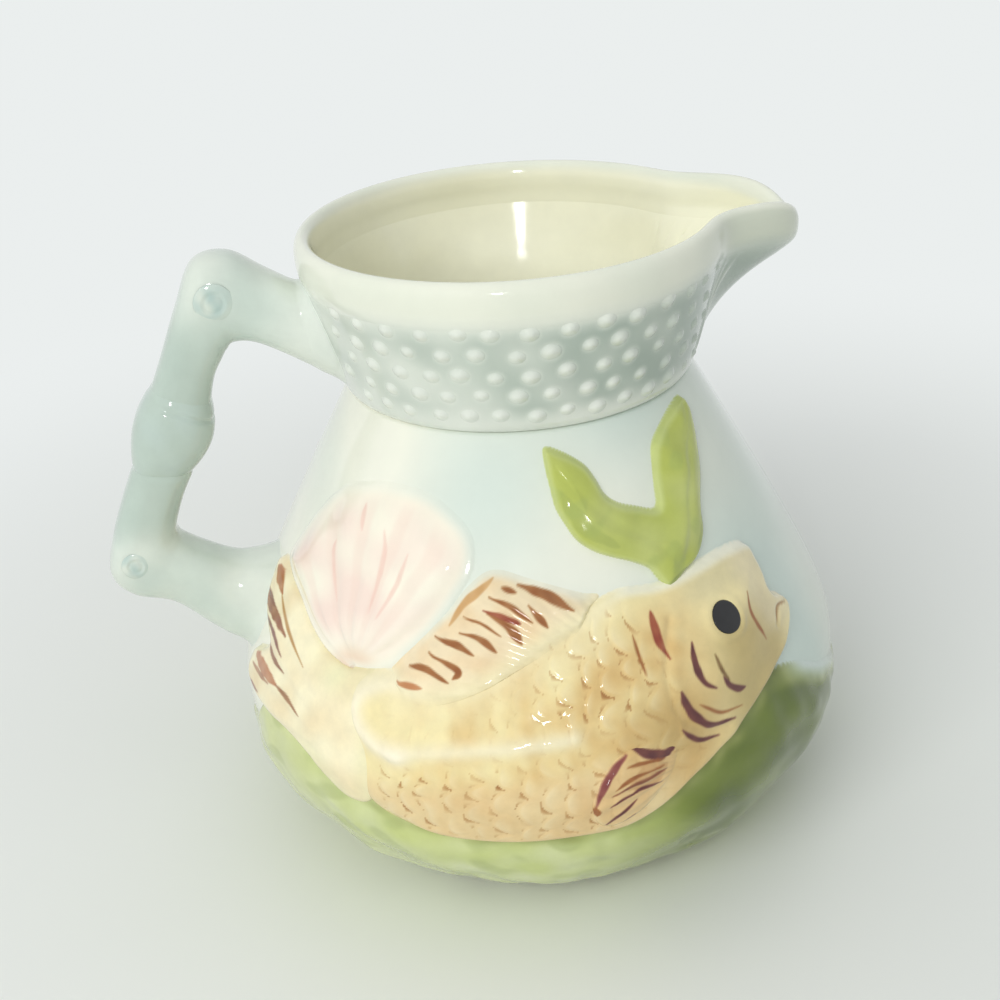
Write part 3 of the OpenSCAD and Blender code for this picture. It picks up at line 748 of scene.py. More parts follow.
bmesh.ops.recalc_face_normals(scars, faces=scars.faces)
scar_mesh = as_mesh(scars, "handle_branch_scars_glazed")
spots = places(scar_mesh) / MM
# The scars are painted a darker aqua all over, as painted shade round their hollow rings.
paint(scar_mesh, tint(handle_colour(spots), (176, 198, 192), 0.35 + 0.3 * clouds(spots, 5, 44)))
finished("handle_branch_scars_glazed", scar_mesh, handle_glaze, "handle_glaze", "handle_branch_scars")

# The weed bed: a skirt of mossy relief round the belly of each half, cast with
# the wall, with soft lumps under a brushed green glaze. All the relief is a
# thin patch that swells out of the wall, front and rear alike.
flat_r = 75
bare_margin = 1.3
sink = 0.05
patch_t = 1.2
rear_turn_deg = 13


def reach(points, line):
    """How far points lie from a line, and where along it each is nearest, as a share"""
    best = np.full(len(points), np.inf)
    share = np.zeros(len(points))
    for i, (a, b) in enumerate(zip(line, line[1:])):
        t = np.clip((points - a) @ (b - a) / max((b - a) @ (b - a), 1e-9), 0, 1)
        gap = np.linalg.norm(points - a - t[:, None] * (b - a), axis=1)
        share = np.where(gap < best, (i + t) / (len(line) - 1), share)
        best = np.minimum(gap, best)
    return best, share


def over_wall(path, closed=False):
    """A smooth line on the bare wall through places given as degrees and heights"""
    line = smooth_line(path, closed)
    return on_wall(line[:, 0], line[:, 1])


def within(deg, z, line):
    """Whether places on the wall lie inside a closed line of degrees and heights"""
    inside = np.zeros(len(deg), bool)
    for (deg_a, z_a), (deg_b, z_b) in zip(line, np.roll(line, -1, axis=0)):
        if z_a != z_b:
            cut = deg_a + (z - z_a) * (deg_b - deg_a) / (z_b - z_a)
            inside ^= ((z_a > z) != (z_b > z)) & (deg < cut)
    return inside


def shoulder(d, width):
    """Rises from 0 at a relief's edge to 1 at this distance inside, with a round top"""
    return np.sqrt(1 - (1 - np.clip((d + 0.3) / width, 0, 1)) ** 2)


def inside_by(deg, z, outline):
    """How far in mm places on the wall lie inside an outline, or less than 0 outside it"""
    line = over_wall(outline, closed=True)
    gap = reach(on_wall(deg, z), np.vstack([line, line[:1]]))[0]
    return np.where(within(deg, z, smooth_line(outline, closed=True)), gap, -gap)


def without(mesh, gone):
    """A bmesh of the mesh without the vertices that a mask picks"""
    shape = bmesh.new()
    shape.from_mesh(mesh)
    shape.verts.ensure_lookup_table()
    bmesh.ops.delete(shape, geom=[shape.verts[i] for i in np.flatnonzero(gone)], context="VERTS")
    return shape


def relief(name, outline, step, height, colour, material, slot):
    """A relief patch inside an outline of places on the wall, in front, and its mirror image behind"""
    line = smooth_line(outline, closed=True)
    low = line.min(0) - (2.2, 1.6)
    high = line.max(0) + (2.2, 1.6)

    def spread_out(u, v):
        return on_wall(low[0] + u * (high[0] - low[0]), low[1] + v * (high[1] - low[1]))

    widest = float(wall_radius(np.linspace(low[1], high[1], 40)).max())
    cols = int(np.radians(high[0] - low[0]) * widest / step)
    rows = int((high[1] - low[1]) * 1.08 / step)
    front = lay("front_" + name + "_glazed", cols, rows, spread_out, closed=False)
    spots = places(front) / MM
    deg = round_deg(spots)
    rough_line = np.array([[np.radians(a) * flat_r, b] for a, b in line])
    flat = np.stack([np.radians(deg) * flat_r, spots[:, 2]], -1)
    near = reach(flat, np.vstack([rough_line, rough_line[:1]]))[0] < 4 * bare_margin
    patch = without(front, ~(near | within(deg, spots[:, 2], line)))
    patch.to_mesh(front)
    patch.free()

    spots = places(front) / MM
    deg = round_deg(spots)
    z = spots[:, 2]
    d = inside_by(deg, z, outline)
    lift = height(deg, z, d, spots) * ramp(d, -0.3, 0.7) - sink * ramp(d, 0.3, -0.3)
    move(front, on_wall(deg, z, lift))
    shade = colour(deg, z, d, spots)
    bare = ramp(d, 0.05, -0.35)[:, None]
    paint(front, shade + (wall_glaze(deg, z) - shade) * bare)
    patch = without(front, d < -bare_margin)
    patch.faces.ensure_lookup_table()
    if patch.faces[0].normal.dot(patch.faces[0].calc_center_median()) < 0:
        bmesh.ops.reverse_faces(patch, faces=patch.faces)
    patch.to_mesh(front)
    bmesh.ops.reverse_faces(patch, faces=patch.faces)
    rear = as_mesh(patch, "rear_" + name + "_glazed")

    # On the rear, what comes near the handle is turned back from it and
    # melts into the wall, so that the silhouette there stays plain.
    left = d >= -bare_margin
    deg = deg[left]
    z = z[left]
    rear_deg = -deg - rear_turn_deg * ramp(deg, -130, -174) * ramp(z, 40, 50)
    melted = 1 - ramp(deg, -152, -170) * ramp(z, 40, 50)
    move(rear, on_wall(rear_deg, z, lift[left] * melted))
    for mesh, side in ((front, "front_"), (rear, "rear_")):
        piece = finished(side + name + "_glazed", mesh, material, slot, side + name)
        body = piece.modifiers.new("thickness", "SOLIDIFY")
        body.thickness = patch_t * MM
        body.offset = -1


bed_outline = [
    (-3, 31), (-12, 34.5), (-22, 38.5), (-31.8, 44.4), (-36.9, 47.6), (-42.1, 52), (-46.8, 55.1),
    (-51.3, 56.8), (-56, 57.4), (-62, 53.4), (-70, 48.6), (-78, 42), (-83, 38.4), (-88, 37.4), (-97, 36.6),
    (-105, 36.4), (-113, 36.8), (-121, 38.2), (-127, 40.6), (-132, 42), (-136, 42), (-140.5, 44.8),
    (-145, 48.6), (-150, 49.6), (-155, 48.8), (-160.5, 46.6), (-165, 40), (-170, 36), (-177, 32),
    (-177.5, 24), (-176, 3.6), (-150, 2.6), (-120, 2.4), (-90, 2.4), (-60, 2.4), (-30, 2.6), (-4, 3.6),
    (-2.5, 20)
]


def bed_height(deg, z, d, points):
    lumps = 0.42 * clouds(points, 26, 51) + 0.1 * clouds(points, 10, 52)
    flutes = 0.1 * np.cos((deg * 0.36 + z * 0.34 + 1.6 * clouds(points, 30, 53)) * 1.15)
    rough = np.clip(lumps + flutes, -0.8, 0.8) * ramp(d, 0.6, 6)
    return 0.95 * shoulder(d, 2.2) + 0.9 * ramp(d, 1.5, 11) + rough


def bed_colour(deg, z, d, points):
    streaks = clouds(points * (1, 1, 1.8), 17, 54)
    pale = 0.3 + 0.35 * ramp(z, 30, 12) + 0.3 * streaks
    colour = tint(all_over((197, 207, 132), points), (214, 221, 170), pale)
    colour = tint(colour, (211, 216, 160), 0.5 * ramp(deg, -132, -150))
    # The right part is painted deep olive: partly the glaze's deeper green, partly painted shade of the side
    # away from the light.
    right = ramp(deg, -94, -64)
    deep_green_and_shade = right * (0.86 + 0.1 * clouds(points * (1, 1, 1.4), 19, 55)) * ramp(z, 2, 15)
    colour = tint(colour, (72, 90, 0), deep_green_and_shade)
    colour = tint(colour, (160, 172, 104), (1 - right) * 0.42 * ramp(clouds(points, 12, 56), 0.2, 1.2))
    # Painted shade: darker green within a few mm of the bed's edges right of the tail, for the shade under
    # the fish's belly; it reaches the bed's lower edge too.
    edge_shade = ramp(deg, -136, -128) * ramp(d, 6.5, 3.2)
    colour = tint(colour, (150, 158, 84), edge_shade * (0.5 + 0.22 * clouds(points, 8, 57)))
    return tint(colour, wall_glaze(deg, z), ramp(d, 6, 0.2) * ramp(deg, -52, -42))


green_glaze = glaze("relief_green_glaze", 0.1, 0.05, 150, 0.12)
relief("weed_bed", bed_outline, 0.62, bed_height, bed_colour, green_glaze, "green_glaze")

# The fish: a plump carp in high relief, painted under the glaze in thin tan
# stain that gathers in the hollows round its scales, and lined with brown.
fish_outline = [
    (-44.4, 80.6), (-45.2, 84.4), (-52, 86), (-62, 86.1), (-71.6, 85.3), (-79.7, 86.2), (-85.3, 85.2),
    (-90.1, 83.8), (-95.6, 81.5), (-101.7, 77.6), (-108.2, 73), (-115.7, 69.4), (-121, 68.8), (-127, 70.2),
    (-132.6, 69), (-136, 65.4), (-136.8, 61.4), (-135.2, 56.9), (-133.4, 52.7), (-132, 47.1), (-130.2, 40.4),
    (-127, 37), (-123, 35.4), (-118, 33.8), (-113.1, 33.1), (-108.3, 32.9), (-103.6, 33), (-97.4, 33.5),
    (-91.1, 34), (-86, 34.5), (-81.4, 37.2), (-77.1, 40.9), (-73.2, 44.3), (-68.8, 47.5), (-65.1, 49.8),
    (-61.4, 52.3), (-57.4, 54.8), (-52.8, 57.4), (-49, 59.4), (-44.6, 62), (-40.8, 66.2), (-41, 69.2),
    (-43.8, 71.4), (-44.8, 74), (-44.4, 77.2)
]
fish_row = [(-135, 53), (-123, 56), (-110, 58.5), (-98, 60.2), (-90, 61), (-80, 61), (-65, 64.5), (-45, 67)]
scale_length = 5.0
scale_width = 6.6
scale_reach = 5.7
eye_place = (-60.8, 75.6)


def fish_axis(deg):
    """Height of the line along the middle of the fish's flank"""
    return np.interp(deg, *zip(*fish_row))


def fish_scales(deg, z):
    """The scales' height as overlapping plates, the distance past a free edge, and how far up that edge"""
    spot = on_wall(deg, z)
    s = -np.radians(deg) * flat_r + clouds(spot, 13, 76)
    w = (z - fish_axis(deg)) * 1.08 + 1.1 * clouds(spot, 15, 77)
    lift = np.zeros(len(s))
    edge = np.full(len(s), 9.0)
    high = np.zeros(len(s))
    open_yet = np.ones(len(s), bool)
    first = np.ceil((s - scale_reach) / scale_length)
    for ahead in range(3):
        k = first + ahead
        middle = (np.floor(w / scale_width - 0.5 * (k % 2)) + 0.5 + 0.5 * (k % 2)) * scale_width
        beside_middle = (w - middle) / (scale_width * 0.62)
        from_root = (s - k * scale_length) / scale_reach
        away = np.sqrt(np.maximum(from_root, 0) ** 2 + beside_middle ** 2)
        hit = open_yet & (away < 1) & (from_root > -0.2)
        lift = np.where(hit, from_root * 0.9 * ramp(1 - away, 0, 0.22), lift)
        past = np.where(open_yet & ~hit, (away - 1) * scale_reach * 0.8, 9.0)
        high = np.where(past < edge, beside_middle, high)
        edge = np.minimum(edge, past)
        open_yet &= ~hit
    return lift, np.maximum(edge, 0), high


def scaled_part(deg, z, d):
    """How clearly the scales show: behind the gill cover, on the back's middle and along the lower flank"""
    gill = -70 - 0.35 * (z - 58)
    over = z - fish_axis(deg)
    back = np.exp(-((deg + 88) / 13) ** 2) * ramp(over, -2, 3)
    flank = 0.75 * ramp(over, -2, -6) * ramp(deg, -131, -124) * ramp(deg, -84, -92)
    breast = 0.6 * np.exp(-((deg + 82) / 8) ** 2 - ((z - 55) / 8) ** 2)
    shown = np.maximum(np.maximum(back, flank), breast) + 0.12
    return shown * ramp(deg, gill + 1, gill - 5) * ramp(d, 1.2, 3.2) * ramp(deg, -131, -124)


def fish_form(deg, z, d):
    """The fish's plump shape without its details"""
    soft = np.maximum(ramp(z - fish_axis(deg), 5, 13) * ramp(deg, -60, -74), ramp(deg, -118, -128))
    return 2.5 * shoulder(d, 2.4 + 3.2 * soft) + 2.1 * ramp(d, 0.5, 17)


lateral_band = [(-124, 55.4), (-117.1, 57.3), (-110.6, 58.5), (-104.2, 59.4), (-99.5, 60), (-94, 60.8)]
rear_ridge = [
    (-121.5, 70.2), (-127.6, 69), (-131.3, 66.8), (-132.9, 64), (-132.9, 61.2), (-131.2, 58), (-127.8, 55.9),
    (-123.2, 55.3)
]
fin_root = [(-124, 64.6), (-117, 66.2), (-109.6, 69), (-102.6, 72.6), (-95.6, 76.2), (-88, 79)]
mouth_line = [(-41.9, 68.3), (-45.4, 69.1), (-48.3, 66.6)]
gill_cover = [(-72.5, 79), (-75.4, 73), (-76.6, 66), (-75.2, 59.5), (-71.5, 55), (-66.4, 53)]


def beside(points, path, width):
    """1 on a line through places on the wall, fading softly to 0 beside it"""
    return np.exp(-(reach(points, over_wall(path))[0] / width) ** 2)


def fish_height(deg, z, d, points):
    rise = fish_form(deg, z, d)
    rise = rise + 0.36 * fish_scales(deg, z)[0] * scaled_part(deg, z, d)
    rise = rise + 0.55 * beside(points, lateral_band, 2) * ramp(d, 0, 2)
    rise = rise + 0.75 * beside(points, rear_ridge, 2.1) * ramp(d, -0.2, 1.6)
    rise = rise - 0.5 * beside(points, mouth_line, 0.6) * ramp(d, 0, 1)
    rise = rise - 0.3 * beside(points, gill_cover, 0.9)
    cover = reach(points, over_wall(gill_cover))[0]
    rise = rise + 0.2 * np.exp(-((cover - 2.2) / 1.4) ** 2) * (deg > -76)
    eye = np.linalg.norm(points - on_wall(*[np.array([c]) for c in eye_place]), axis=1)
    rise = rise + 0.4 * np.exp(-((eye - 4.6) / 1.2) ** 2) * ramp(d, 0, 2)
    return rise + 0.1 * clouds(points, 12, 71)


stain_brown = (146, 82, 28)
stain_maroon = (82, 20, 22)
stain_olive = (116, 84, 36)
stain_rust = (142, 52, 24)
fish_strokes = [
    ([(-69.8, 73.9), (-70.4, 71.2), (-70.3, 67.9), (-69.5, 65), (-67.6, 63)], 1.35, stain_maroon, 0),
    ([(-66.1, 69.9), (-65.6, 66.1), (-64.6, 63.2)], 0.9, stain_olive, 0),
    ([(-65.7, 64.6), (-64.7, 62), (-62.9, 60.2), (-61.2, 59.5)], 1.5, stain_maroon, 0.2),
    ([(-74.5, 65.4), (-74.2, 62.4), (-72.7, 58.8), (-70, 55.5), (-64.9, 54.2)], 1.7, stain_maroon, -0.2),
    ([(-71.7, 61.3), (-70.1, 59.6), (-67.4, 57), (-62.6, 55.8)], 0.7, stain_brown, 0),
    ([(-75.8, 57.4), (-74.5, 55.2), (-72.4, 53.2), (-68.8, 52.2)], 1.1, stain_maroon, 0),
    ([(-75.8, 81.7), (-76, 78.3), (-75.8, 75.4), (-74.9, 72.2)], 1.5, stain_rust, -0.3),
    ([(-80.7, 78.4), (-80.5, 74.3), (-80, 70.4)], 0.6, stain_brown, 0),
    ([(-53.1, 77.4), (-54.3, 73.6), (-54.1, 70.3), (-52.9, 66.1)], 0.9, stain_brown, 0),
    (mouth_line, 0.7, (168, 128, 78), 0)
]


def brush(colour, points, path, width, paint_colour, strength, heavy=0):
    """A stroke this wide in mm, with thin ends; heavy moves its thickest part to its end, or its start"""
    gap, share = reach(points, over_wall(path))
    share = share ** (2.0 ** heavy)
    half = 0.6 * width * np.clip(np.sin(np.pi * (0.04 + 0.92 * share)), 0, 1) ** 0.75
    half = half * (1 + 0.12 * clouds(points, 5, 61))
    covered = ramp(gap, half + 0.24, half - 0.26) * (0.94 + 0.06 * clouds(points, 4, 62))
    return tint(colour, paint_colour, strength * covered)


def brushed(colour, points, strokes, strength):
    """All of a piece's strokes of the brush: the path, width, stain and heavier end of each"""
    for path, width, stain, heavy in strokes:
        colour = brush(colour, points, path, width, stain, strength, heavy)
    return colour


def fish_colour(deg, z, d, points):
    plate, below, high = fish_scales(deg, z)
    scaled = scaled_part(deg, z, d)
    over = z - fish_axis(deg)
    flank = ramp(deg, -60, -76) * ramp(deg, -130, -114) * ramp(over, 24, 15)
    warm = 0.44 + 0.22 * ramp(deg, -98, -84) + 0.24 * clouds(points, 16, 72) + 0.1 * clouds(points, 6, 73)
    colour = tint(all_over((242, 227, 170), points), (218, 182, 116), warm * flank)
    belly = ramp(over, -4, -12) * ramp(deg, -72, -84)
    colour = tint(colour, (230, 198, 148), 0.6 * belly)
    brow = ramp(deg, -74, -62) * ramp(z, 78, 82)
    colour = tint(colour, (214, 204, 160), 0.6 * brow)
    cheek = ramp(deg, -70, -60) * ramp(z, 79, 70) * ramp(deg, -43, -52)
    colour = tint(colour, (182, 160, 98), 0.78 * cheek)
    snout = ramp(deg, -57, -49) * ramp(z, 64, 70)
    colour = tint(colour, (228, 216, 184), 0.55 * snout)
    gathered = np.exp(-(below / 0.9) ** 2) * scaled * ramp(high, 0.75, 0.1) * ramp(high, -1.02, -0.6)
    gathered = gathered * (0.8 + 0.4 * clouds(points, 8, 74))
    colour = tint(colour, (168, 116, 58), 0.8 * gathered)
    breast = np.exp(-((deg + 76) / 8) ** 2 - ((z - 58) / 8) ** 2)
    colour = tint(colour, (188, 156, 92), 0.9 * breast)
    colour = tint(colour, (246, 236, 202), 0.4 * ramp(plate, 0.3, 0.9) * scaled)
    colour = tint(colour, (246, 237, 202), 0.8 * beside(points, lateral_band, 2.1))
    colour = tint(colour, (243, 233, 190), 0.5 * beside(points, fin_root, 4.5))
    colour = tint(colour, (251, 243, 219), 0.78 * beside(points, rear_ridge, 2.7))
    colour = brushed(colour, points, fish_strokes, 0.95)
    line = ramp(d, 1.0, 0.35) * ramp(over, 0, -8) * (0.62 + 0.35 * clouds(points, 8, 75))
    colour = tint(colour, (146, 96, 56), 0.85 * line)
    finned = ramp(deg, -78, -86)
    colour = tint(colour, (243, 234, 196), finned * 0.7 * ramp(d, 5, 1) * ramp(over, 6, 11))
    return tint(colour, milk, 0.85 * ramp(d, 2.2, 0.2) * ramp(over, 10, 15) * (1 - finned))


fish_glaze = glaze("fish_glaze", 0.09, 0.05, 260, 0.08)
relief("fish_body", fish_outline, 0.35, fish_height, fish_colour, fish_glaze, "fish_glaze")

# The fish's tail: two lobes of a fan with low rays, cast with the body, in cream
# glaze with stripes of brown stain that the brush laid along the rays.
tail_outline = [
    (-173, 77.3), (-171.6, 71.3), (-169.2, 67.4), (-165, 64), (-162.6, 61.9), (-164.4, 59.6), (-168.6, 56.8),
    (-169.8, 52.4), (-168.2, 49.2), (-163.4, 47.4), (-156.5, 46.7), (-150.5, 46.7), (-145, 45),
    (-139.6, 40.9), (-134.6, 37.2), (-129.5, 39), (-127, 50), (-127.7, 66), (-130.2, 69.4), (-134, 68.9),
    (-138.4, 68.3), (-144, 69.5), (-149.2, 72.2), (-155.2, 75.7), (-161, 77.7), (-167, 79.3), (-171.4, 79.3)
]
tail_strokes = [
    ([(-170, 77.6), (-165.8, 76.4), (-162.4, 74.7)], 3.2, (160, 82, 22), -0.3),
    ([(-162.8, 74.5), (-156.1, 69.8), (-147.8, 64.5)], 1.2, (172, 118, 46), -0.4),
    ([(-170.5, 72), (-163.6, 70.9)], 1.3, (100, 46, 30), 0),
    ([(-169.8, 70.3), (-162, 69.5), (-156, 67.6)], 2.6, (130, 66, 30), -0.7),
    ([(-167, 67.3), (-161, 66), (-155, 63.2)], 1.3, (110, 52, 32), 0),
    ([(-162, 62.8), (-158.5, 61.2), (-153, 60.2)], 1.3, (122, 66, 36), 0),
    ([(-166, 57.3), (-159.6, 56.9), (-154.4, 56.6)], 2.8, (176, 106, 62), -0.3),
    ([(-154.6, 56.6), (-150.2, 55.8), (-146, 53.8)], 1.1, (140, 88, 50), 0),
    ([(-166.6, 54.3), (-157.4, 54.9)], 1.2, (160, 106, 72), 0),
    ([(-167, 50), (-161, 50)], 1.1, (142, 98, 84), 0)
]
tail_root = (-126, 50)
tail_ray_count = 34


def ray_angle(deg, z, root):
    """The angle of places on the wall about the root of a fin or the tail, on the flattened wall"""
    return np.arctan2((z - root[1]) * 1.1, -np.radians(deg - root[0]) * flat_r)


def tail_height(deg, z, d, points):
    fan = ramp(deg, -138, -150)
    rays = np.cos(ray_angle(deg, z, tail_root) * tail_ray_count) * fan * ramp(d, 0.3, 2)
    return 2.0 * shoulder(d, 3) + 1.3 * ramp(d, 0, 9) * (1 - 0.6 * fan) + 0.16 * rays


def tail_colour(deg, z, d, points):
    shaded = ramp(deg, -150, -138) * ramp(d, 9, 2)
    colour = tint(all_over((249, 240, 203), points), (230, 229, 180), 0.6 * shaded)
    colour = tint(colour, (238, 218, 174), 0.28 + 0.3 * clouds(points, 14, 81))
    colour = brushed(colour, points, tail_strokes, 0.85)
    return tint(colour, (206, 180, 130), 0.3 * ramp(d, 0.9, 0.2) * ramp(z, 56, 50))


relief("fish_tail", tail_outline, 0.33, tail_height, tail_colour, fish_glaze, "fish_glaze")

# The fins: one along the fish's back and one on its side, each a thin fan of
# soft rays, with the rays picked out in brown by quick strokes of a brush.
fin_outline = [
    (-85, 85.5), (-88.5, 86.8), (-94, 88.9), (-100, 91), (-105.6, 92.7), (-109.4, 92.2), (-113.2, 89.2),
    (-116.9, 84.6), (-120.4, 80.9), (-124, 76.4), (-127.4, 71.6), (-128.4, 67.5), (-123.4, 64.4),
    (-117, 65.4), (-109.6, 68.8), (-102.6, 73.2), (-95.6, 77.2), (-90, 80.4)
]
fin_strokes = [
    ([(-107.5, 91.5), (-110.6, 89), (-113.7, 86.1), (-116.3, 81.9)], 1.3, (204, 156, 96), 0),
    ([(-105.5, 90.1), (-102.4, 89.1)], 0.9, stain_brown, 0),
    ([(-102.1, 90.2), (-97.1, 88.3), (-91.1, 85.2)], 1.5, stain_brown, 0.4),
    ([(-100, 86.9), (-98.2, 84.7), (-96.5, 82.4)], 1.3, stain_brown, 0.5),
    ([(-108, 88.6), (-104.1, 87.2), (-99.4, 83.6)], 1.2, stain_brown, 0.5),
    ([(-109.1, 86.1), (-105.6, 85), (-101.8, 83.5)], 1.4, stain_rust, 0.5),
    ([(-108.3, 85.5), (-104, 82.8), (-101.7, 79.4)], 1.7, stain_brown, 0.6),
    ([(-113.3, 84.2), (-109.7, 83.7), (-105.6, 81)], 0.7, stain_brown, 0.4),
    ([(-113.7, 81.4), (-109.8, 80.6), (-106.5, 77.8)], 1.4, stain_brown, 0.6),
    ([(-119.1, 79.3), (-114.6, 79.1), (-110.8, 77.1)], 1.4, stain_brown, 0.6),
    ([(-119.7, 76.6), (-115.7, 75), (-113.6, 73.5), (-114.5, 72.1)], 1.4, stain_brown, 0.3),
    ([(-123.5, 73), (-120, 73.5), (-115.4, 71.1)], 1.3, stain_brown, 0.5),
    ([(-125.5, 69.5), (-120.3, 69.4)], 1.5, (190, 125, 75), 0)
]
back_fin_root = (-73.6, 65.5)
back_fin_ray_count = 92


def fin_height(deg, z, d, points):
    """The fin stands thin off the wall, and runs smoothly into the fish's back"""
    rays = np.cos(ray_angle(deg, z, back_fin_root) * back_fin_ray_count)
    depth = inside_by(deg, z, fish_outline)
    joined = 5 * ramp(depth, -5, 0) * ramp(deg, -127, -119) * ramp(deg, -86, -93)
    rise = 2.8 * ramp(d + joined, -0.3, 5.5) + 0.2 * shoulder(d, 1) + 0.12 * rays * ramp(d, 0.2, 2)
    back = fish_height(deg, z, np.maximum(depth, 0), points) - 0.14 + 0.36 * ramp(d, 0, 4)
    return rise + (back - rise) * ramp(depth, 1, 4)


def fin_colour(deg, z, d, points):
    colour = tint(all_over((241, 222, 184), points), (236, 206, 160), 0.22 + 0.3 * clouds(points, 9, 91))
    thin = ramp(d, 2.4, 0.2) * ramp(deg, -82, -88) * ramp(deg, -126, -118)
    colour = tint(colour, wall_glaze(deg, z), 0.8 * thin)
    depth = inside_by(deg, z, fish_outline)
    colour = tint(colour, fish_colour(deg, z, np.maximum(depth, 0), points), ramp(depth, -4, 1.5))
    return brushed(colour, points, fin_strokes, 0.95)


fin_glaze = glaze("fin_glaze", 0.09, 0.05, 260, 0.08)
relief("back_fin", fin_outline, 0.28, fin_height, fin_colour, fin_glaze, "fin_glaze")

side_fin_outline = [
    (-76.8, 54.6), (-80.8, 56.2), (-85.3, 57), (-89.2, 54), (-91.6, 48.5), (-92.4, 43.5), (-91.2, 37.9),
    (-88.4, 36.4), (-84.6, 38.6), (-80.8, 43), (-78.2, 47), (-76.8, 51)
]
side_fin_strokes = [
    ([(-84.9, 56.9), (-83, 55.4), (-81.1, 54.1), (-79.4, 53.6), (-77.4, 54.6)], 2.0, stain_maroon, 0.2),
    ([(-85.9, 55.7), (-88.1, 53.3), (-90.1, 49.5), (-91.5, 44.6)], 1.2, (122, 48, 46), 0),
    ([(-91.5, 44.6), (-91.4, 42)], 1.5, stain_brown, 0),
    ([(-86.1, 53.2), (-82.5, 53.1), (-79.6, 52.5)], 0.9, stain_brown, 0),
    ([(-88.3, 48.5), (-86.6, 49.8), (-84, 50.7), (-79.8, 51)], 0.8, stain_brown, 0),
    ([(-88.9, 46.9), (-85.7, 48.6), (-82.7, 49.2), (-79.4, 49.8)], 0.8, (120, 58, 30), 0),
    ([(-86.1, 46.1), (-83.9, 47.1), (-80.4, 46.8)], 0.7, stain_maroon, 0),
    ([(-89.3, 44), (-87.3, 45.7), (-84.8, 46.6)], 0.6, stain_maroon, 0),
    ([(-90.2, 38.4), (-87.8, 41.1), (-84.9, 44.4)], 0.8, stain_maroon, 0),
    ([(-87.3, 37.6), (-85.1, 40)], 0.6, stain_maroon, 0)
]
side_fin_root = (-75, 49)
side_fin_ray_count = 26


def side_fin_height(deg, z, d, points):
    rays = np.cos(ray_angle(deg, z, side_fin_root) * side_fin_ray_count)
    rise = (0.3 + 0.8 * ramp(deg, -79, -88)) * ramp(d, 0, 2) - 0.14 + 0.14 * rays * ramp(d, 0.6, 2.5)
    return fish_height(deg, z, inside_by(deg, z, fish_outline), points) + rise


def side_fin_colour(deg, z, d, points):
    colour = fish_colour(deg, z, inside_by(deg, z, fish_outline), points)
    colour = tint(colour, (222, 186, 128), ramp(d, 0.2, 2.5) * (0.62 + 0.12 * clouds(points, 6, 95)))
    colour = brush(colour, points, [(-86, 48), (-82, 50), (-79.5, 51)], 5, (178, 128, 76), 0.4)
    return brushed(colour, points, side_fin_strokes, 0.95)


relief("side_fin", side_fin_outline, 0.3, side_fin_height, side_fin_colour, fin_glaze, "fin_glaze")

# The eye: a glossy, dark oval of enamel on the fish's cheek, laid on thick with
# the tip of a brush, so that it stands up a little with a round edge.
eye_black = bpy.data.materials.new("eye_enamel")
eye_black.use_nodes = True
ink = eye_black.node_tree
ink_shader = ink.nodes["Principled BSDF"]
ink_shader.inputs["Roughness"].default_value = 0.12
ink_shader.inputs["Coat Weight"].default_value = 0.1
ink_where = ink.nodes.new("ShaderNodeTexCoord")
ink_patches = ink.nodes.new("ShaderNodeTexNoise")
ink_patches.inputs["Scale"].default_value = 500
ink_colour = ink.nodes.new("ShaderNodeValToRGB")
ink_colour.color_ramp.elements[0].color = (0.004, 0.004, 0.005, 1)
ink_colour.color_ramp.elements[1].color = (0.014, 0.013, 0.015, 1)
ink.links.new(ink_where.outputs["Object"], ink_patches.inputs["Vector"])
ink.links.new(ink_patches.outputs["Fac"], ink_colour.inputs["Fac"])
ink.links.new(ink_colour.outputs["Color"], ink_shader.inputs["Base Color"])
for name, side in (("front_fish_eye", 1), ("rear_fish_eye", -1)):
    def eye_bulge(u, v):
        out = np.interp(v, [0, 0.8, 1], [0, 1, 0])
        turn = 2 * np.pi * u
        bulge = np.where(v < 0.81, 0.08 + 0.5 * np.sqrt(np.maximum(1 - out ** 2, 0)), -0.6)
        deg = eye_place[0] + (2.9 * np.cos(turn) + 1.3 * np.sin(turn)) * out
        z = eye_place[1] + (2.95 * np.sin(turn) - 1.35 * np.cos(turn)) * out
        cheek_h = fish_height(deg, z, inside_by(deg, z, fish_outline), on_wall(deg, z))
        return on_wall(deg, z, cheek_h + bulge) * (1, side, 1)
    finished(name + "_enamel", lay(name, 48, 20, eye_bulge), eye_black, "eye_enamel", name)

# The shell: a scallop in low relief that fades into the wall at its rim,
# with fine rays from its hinge, washed with pink in streaks.
shell_hinge = (-136.3, 68.5)
shell_outline = [
    (-133.2, 68.4), (-138, 67.9), (-144, 69.4), (-149.6, 72.1), (-156.4, 76), (-163, 78.4), (-168, 81),
    (-167.6, 84.6), (-165.8, 88.4), (-161.8, 96.2), (-155.2, 102.8), (-146, 106), (-137.7, 107.5),
    (-126.8, 107.3), (-119.2, 104.6), (-113.1, 99.9), (-112, 93.2), (-115.3, 86.8), (-120.1, 79.3),
    (-124.6, 74.3), (-128.1, 70.6)
]
shell_rib_count = 19
shell_r = 63
pink_lines = [
    [(-143.2, 81.5), (-148.3, 90.5), (-148.6, 93.4)],
    [(-143.4, 102.4), (-141.2, 97.4)],
    [(-134.5, 99.3), (-133.3, 94.9), (-133.5, 88.8), (-134.4, 81.6)],
    [(-127, 95.7), (-128.9, 88.3), (-132.1, 81.2)]
]


